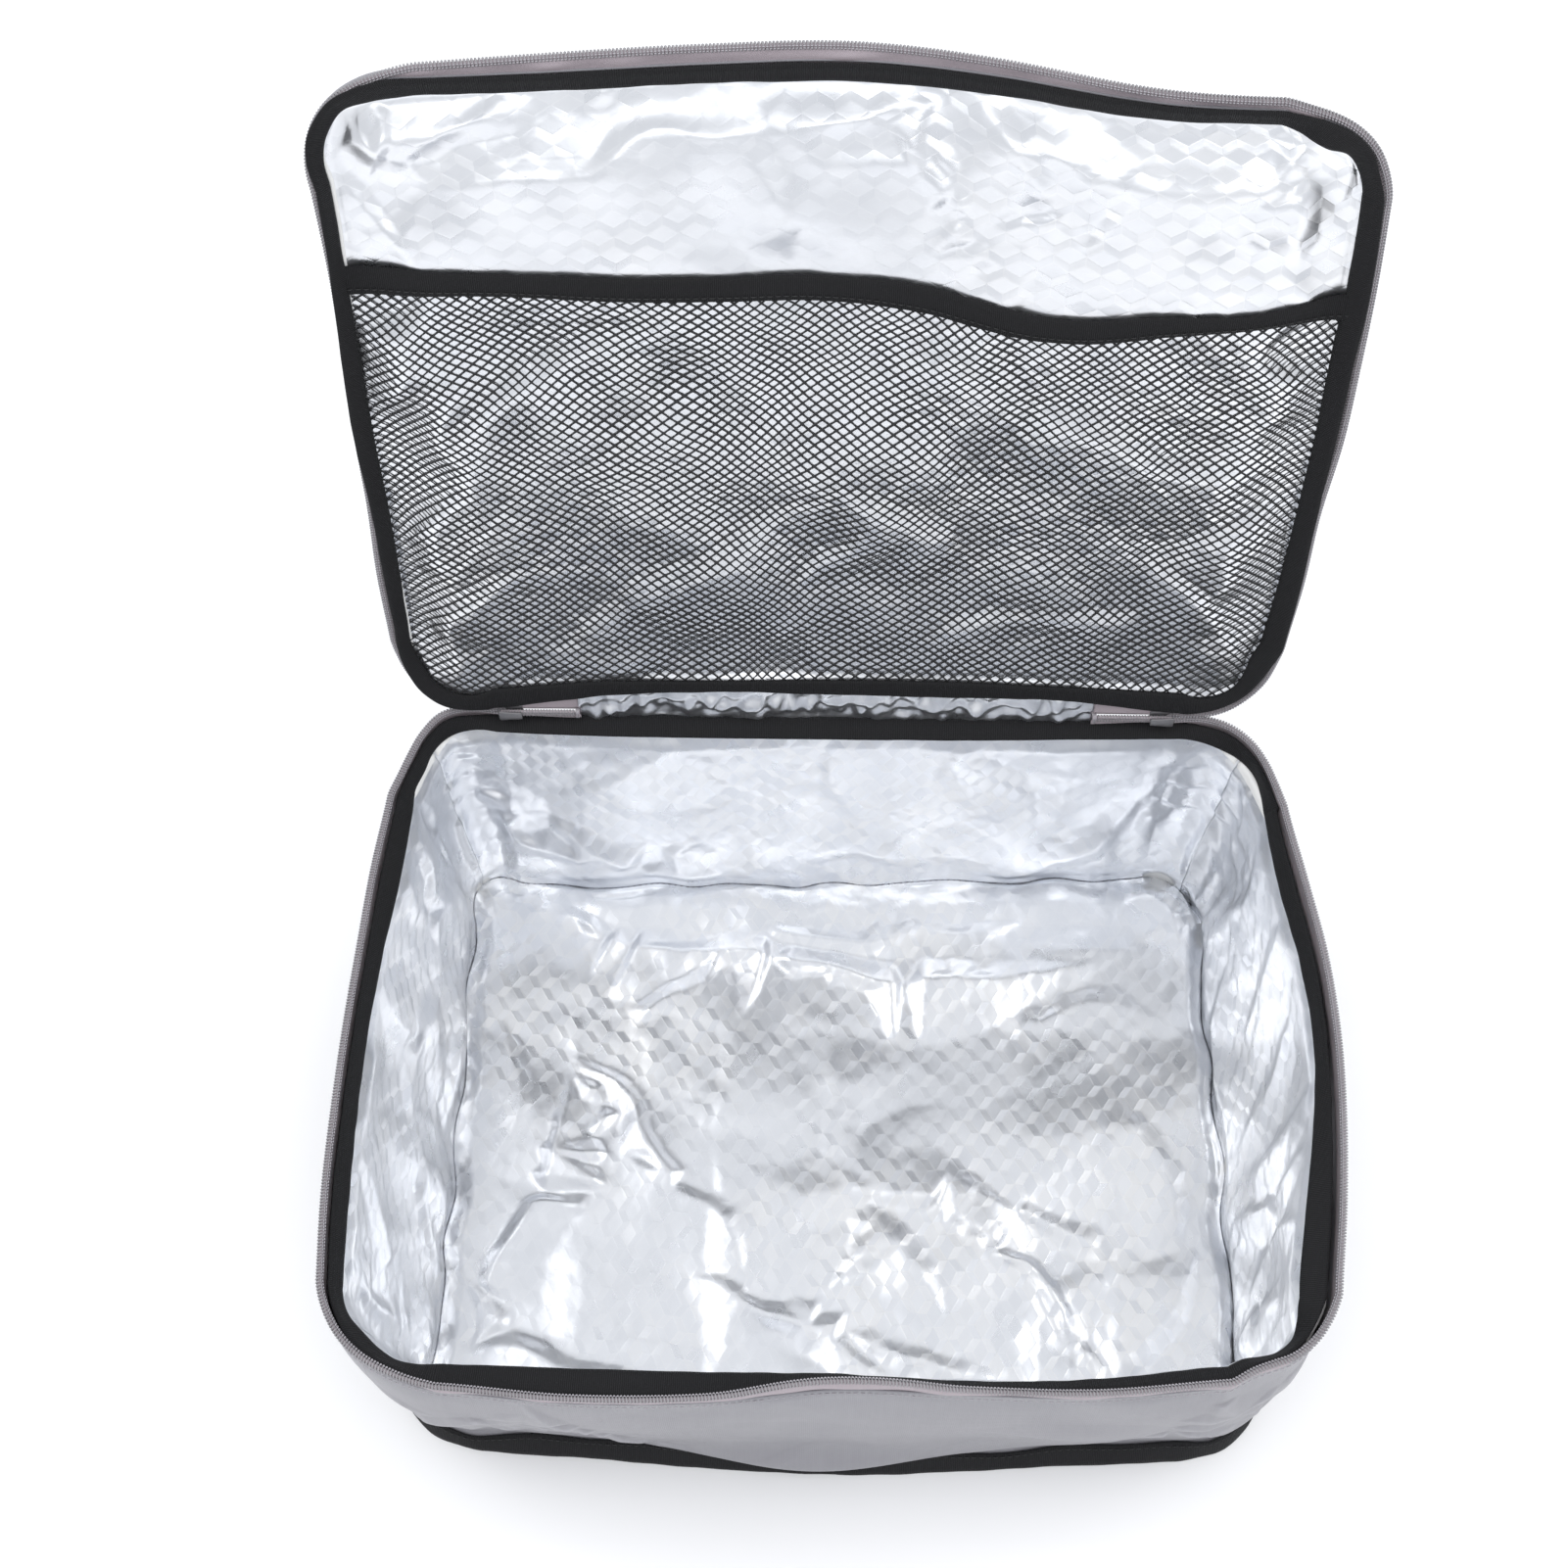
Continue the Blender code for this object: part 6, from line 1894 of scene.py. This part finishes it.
for side, sign in (("left", -1.0), ("right", 1.0)):
    # Closed teeth: two coils that mesh, on the hinge line.
    x0, x1 = HINGE_HALF + 3.5, SLIDER_X + 5.0
    xs = sign * np.linspace(x0, x1, 60)
    parts = []
    for k, up_down in enumerate((1.0, -1.0)):
        C = np.stack([xs, 0 * xs + AXIS_Y, 0 * xs + AXIS_Z + 1.05 * up_down], -1)
        T_, A_, B_ = frames_of(C, np.tile([0.0, 0.0, -up_down], (len(xs), 1)), False)
        parts.append(coil_mesh("chain_%s_%d" % (side, k), C, A_, B_, False, COIL, 1.15, 0.95, 0.34))
        parts.append(coil_core("chain_core_%s_%d" % (side, k), C, A_, B_, False, TAPE))
    chain = join("chain_teeth_" + side, parts)
    as_piece(chain, "body", "coil", "chain_" + side)

    # Bar tack that ends the zipper: a fold of tape with rows of thread over it.
    rows = []
    for f in np.linspace(0, 1, 7):
        y, z = superloop(1.5 * (1 - 0.25 * abs(2 * f - 1) ** 4), 2.9)
        x = sign * (HINGE_HALF + 1.2 + 1.9 * f)
        rows.append(np.stack([0 * y + x, AXIS_Y + y, AXIS_Z + z], -1))
    stop = sweep("stop_fold_" + side, np.stack(rows), TAPE, False)
    threads = []
    for k in range(4):
        x = sign * (HINGE_HALF + 1.45 + 0.45 * k)
        y, z = superloop(1.62, 3.0, 3.2, 26)
        C = np.stack([0 * y + x, AXIS_Y + y, AXIS_Z + z], -1)
        T_, A_, B_ = frames_of(C, np.tile([1.0, 0.0, 0.0], (len(y), 1)), True)
        threads.append(sweep("stop_thread_%s_%d" % (side, k), tube_grid(C, A_, B_, rounded_section(0.17, 0.17, 2, 2.0)), THREAD_GREY, True))
    as_piece(join("zip_stop_tack_" + side, [stop] + threads), "body", "webbing", "zip_stop_" + side)

    # Slider: two plates that widen to its open end, joined by a wedge, with a lug for the pull.
    home = (sign * SLIDER_X, AXIS_Y, AXIS_Z)
    run = [(-6.0, 0.45, 2.3), (-5.6, 0.62, 2.75), (-3.5, 0.68, 3.0), (0.0, 0.68, 3.2), (3.0, 0.68, 3.7), (5.2, 0.64, 3.9), (5.9, 0.45, 3.5)]
    plates = []
    for k, y in enumerate((-2.35, 2.45)):
        plates.append(lathe_x("slider_plate_%s_%d" % (side, k), [(sign * x, hy, hz, y, 0.35) for x, hy, hz in run], METAL, home))
    plates.append(lathe_x("slider_wedge_" + side, [(sign * 3.2, 2.2, 0.5, 0.05, 0.35), (sign * 4.0, 2.4, 0.95, 0.05, 0.35), (sign * 5.4, 2.4, 1.15, 0.05, 0.35), (sign * 5.8, 2.2, 0.8, 0.05, 0.35)], METAL, home))
    bow = []
    for f in np.linspace(0, 1, 15):
        x = -3.6 + 7.2 * f
        y = 3.0 + 3.55 * math.sin(math.pi * f) ** 0.6
        bow.append((x * sign, y))
    C = np.array([(home[0] + x, home[1] + y, home[2]) for x, y in bow])
    T_, A_, B_ = frames_of(C, np.tile([0.0, 0.0, 1.0], (len(C), 1)), False)
    plates.append(sweep("slider_bow_" + side, tube_grid(C, A_, B_, rounded_section(1.15, 0.5, 4, 3.0)), METAL, False))
    as_piece(join("slider_shape_" + side, plates), "slider_" + side, "metal", "slider_" + side)

    # Pull: a flat tab with a loop at its top and a long window.
    px, py, pz = sign * SLIDER_X, AXIS_Y + 5.0, AXIS_Z
    def tab_outline(grow, n=72):
        ang = np.linspace(0, 2 * math.pi, n, endpoint=False)
        c, s_ = np.cos(ang), np.sin(ang)
        r = (np.abs(c) ** 3.4 + np.abs(s_) ** 3.4) ** (-1 / 3.4)
        z = r * s_ * (15.2 + grow)
        w = 3.4 - 0.9 * smoothstep(-2, 15, z)
        return r * c * (w + grow), z - 12.6

    def window(z0, z1, half, grow, n=72):
        ang = np.linspace(0, 2 * math.pi, n, endpoint=False)
        c, s_ = np.cos(ang), np.sin(ang)
        r = (np.abs(c) ** 2.6 + np.abs(s_) ** 2.6) ** (-1 / 2.6)
        return r * c * (half + grow), (z0 + z1) / 2 + r * s_ * ((z1 - z0) / 2 + grow)

    rings = []
    for grow, y in ((-0.35, 0.72), (-0.08, 0.56), (0.0, 0.3), (0.0, -0.3), (-0.08, -0.56), (-0.35, -0.72)):
        x, z = tab_outline(grow)
        rings.append(np.stack([px + x, py + y + 0 * x, pz + z], -1))
    for grow, y in ((0.35, -0.72), (0.08, -0.56), (0.0, -0.3), (0.0, 0.3), (0.08, 0.56), (0.35, 0.72)):
        x, z = window(-23.5, 1.5, 1.05, grow)
        rings.append(np.stack([px + x, py + y + 0 * x, pz + z], -1))
    G = np.stack(rings, 1)
    pull = sweep("pull_shape_" + side, G, METAL, closed=True)
    as_piece(pull, "pull_" + side, "metal", "pull_" + side)

# ------------------------------------------------------------------ stage, lights and camera
def floor():
    ang = np.linspace(0, 2 * math.pi, 96, endpoint=False)
    radii = [0.02, 0.3, 0.8, 2.0, 5.0, 9.0]
    V = [(0.0, 0.0, 0.0)]
    for r in radii:
        V += [(1000 * r * math.cos(a), 1000 * r * math.sin(a), 0.0) for a in ang]
    V = np.array(V)
    V[:, 2] = -0.12
    F = []
    for k in range(len(radii) - 1):
        a0, b0 = 1 + k * 96, 1 + (k + 1) * 96
        for i in range(96):
            j = (i + 1) % 96
            F.append((a0 + i, b0 + i, b0 + j, a0 + j))
    obj = make("floor", V, np.array(F), None, None, True, extra=[np.arange(1, 97)[None, :]])
    t = Tree("floor_paper")
    n = t.noise(t.place(), 3.0, 2.0)
    colour = t.ramp(n, [(0.3, (0.90, 0.90, 0.905)), (0.7, (0.93, 0.93, 0.935))])
    obj.data.materials.append(t.finish(colour, 0.9, None, spec=0.2))


floor()


def light(name, place, target, size, power, colour=(1, 1, 1)):
    data = bpy.data.lights.new(name, "AREA")
    data.shape = "RECTANGLE"
    data.size, data.size_y = size
    data.energy = power
    data.color = colour
    obj = bpy.data.objects.new(name, data)
    obj.location = place
    obj.rotation_euler = (Vector(target) - Vector(place)).to_track_quat("-Z", "Y").to_euler()
    bpy.context.scene.collection.objects.link(obj)
    return obj


light("box_left", (-1.5, 0.35, 2.0), (0, 0.0, 0.1), (1.1, 1.4), 9.5)
light("box_right", (1.6, 0.3, 1.9), (0, 0.0, 0.1), (1.1, 1.4), 8.5)
light("box_front", (0.3, -2.1, 1.7), (0, 0, 0.15), (1.8, 0.9), 7.2)
wash = light("ceiling_wash", (0, -0.2, 3.2), (0, -0.2, 0), (4.0, 4.0), 60)
wash.visible_glossy = False

world = bpy.data.worlds.new("studio")
bpy.context.scene.world = world
world.use_nodes = True
bg = world.node_tree.nodes["Background"]
bg.inputs["Color"].default_value = (0.945, 0.965, 1.0, 1)
bg.inputs["Strength"].default_value = 0.81

cam_data = bpy.data.cameras.new("camera")
cam = bpy.data.objects.new("camera", cam_data)
bpy.context.scene.collection.objects.link(cam)
cam_data.lens = 50.0
cam_data.sensor_width = 36.0
cam_data.shift_y = 15.94 / 1601
cam_data.clip_start = 0.05
cam_data.clip_end = 30.0
pitch, yaw, roll = math.radians(60.91), math.radians(1.30), math.radians(-0.53)
R = Vector((math.cos(yaw), math.sin(yaw), 0))
H = Vector((-math.sin(yaw), math.cos(yaw), 0))
Fw = H * math.cos(pitch) - Vector((0, 0, 1)) * math.sin(pitch)
U = H * math.sin(pitch) + Vector((0, 0, 1)) * math.cos(pitch)
R2 = R * math.cos(roll) + U * math.sin(roll)
U2 = U * math.cos(roll) - R * math.sin(roll)
m = Matrix((R2, U2, -Fw)).transposed().to_4x4()
m.translation = Vector((-13.78, -408.2, 1116.73)) * MM
cam.matrix_world = m
bpy.context.scene.camera = cam
bpy.context.scene.view_settings.view_transform = "Standard"
bpy.context.scene.view_settings.look = "None"
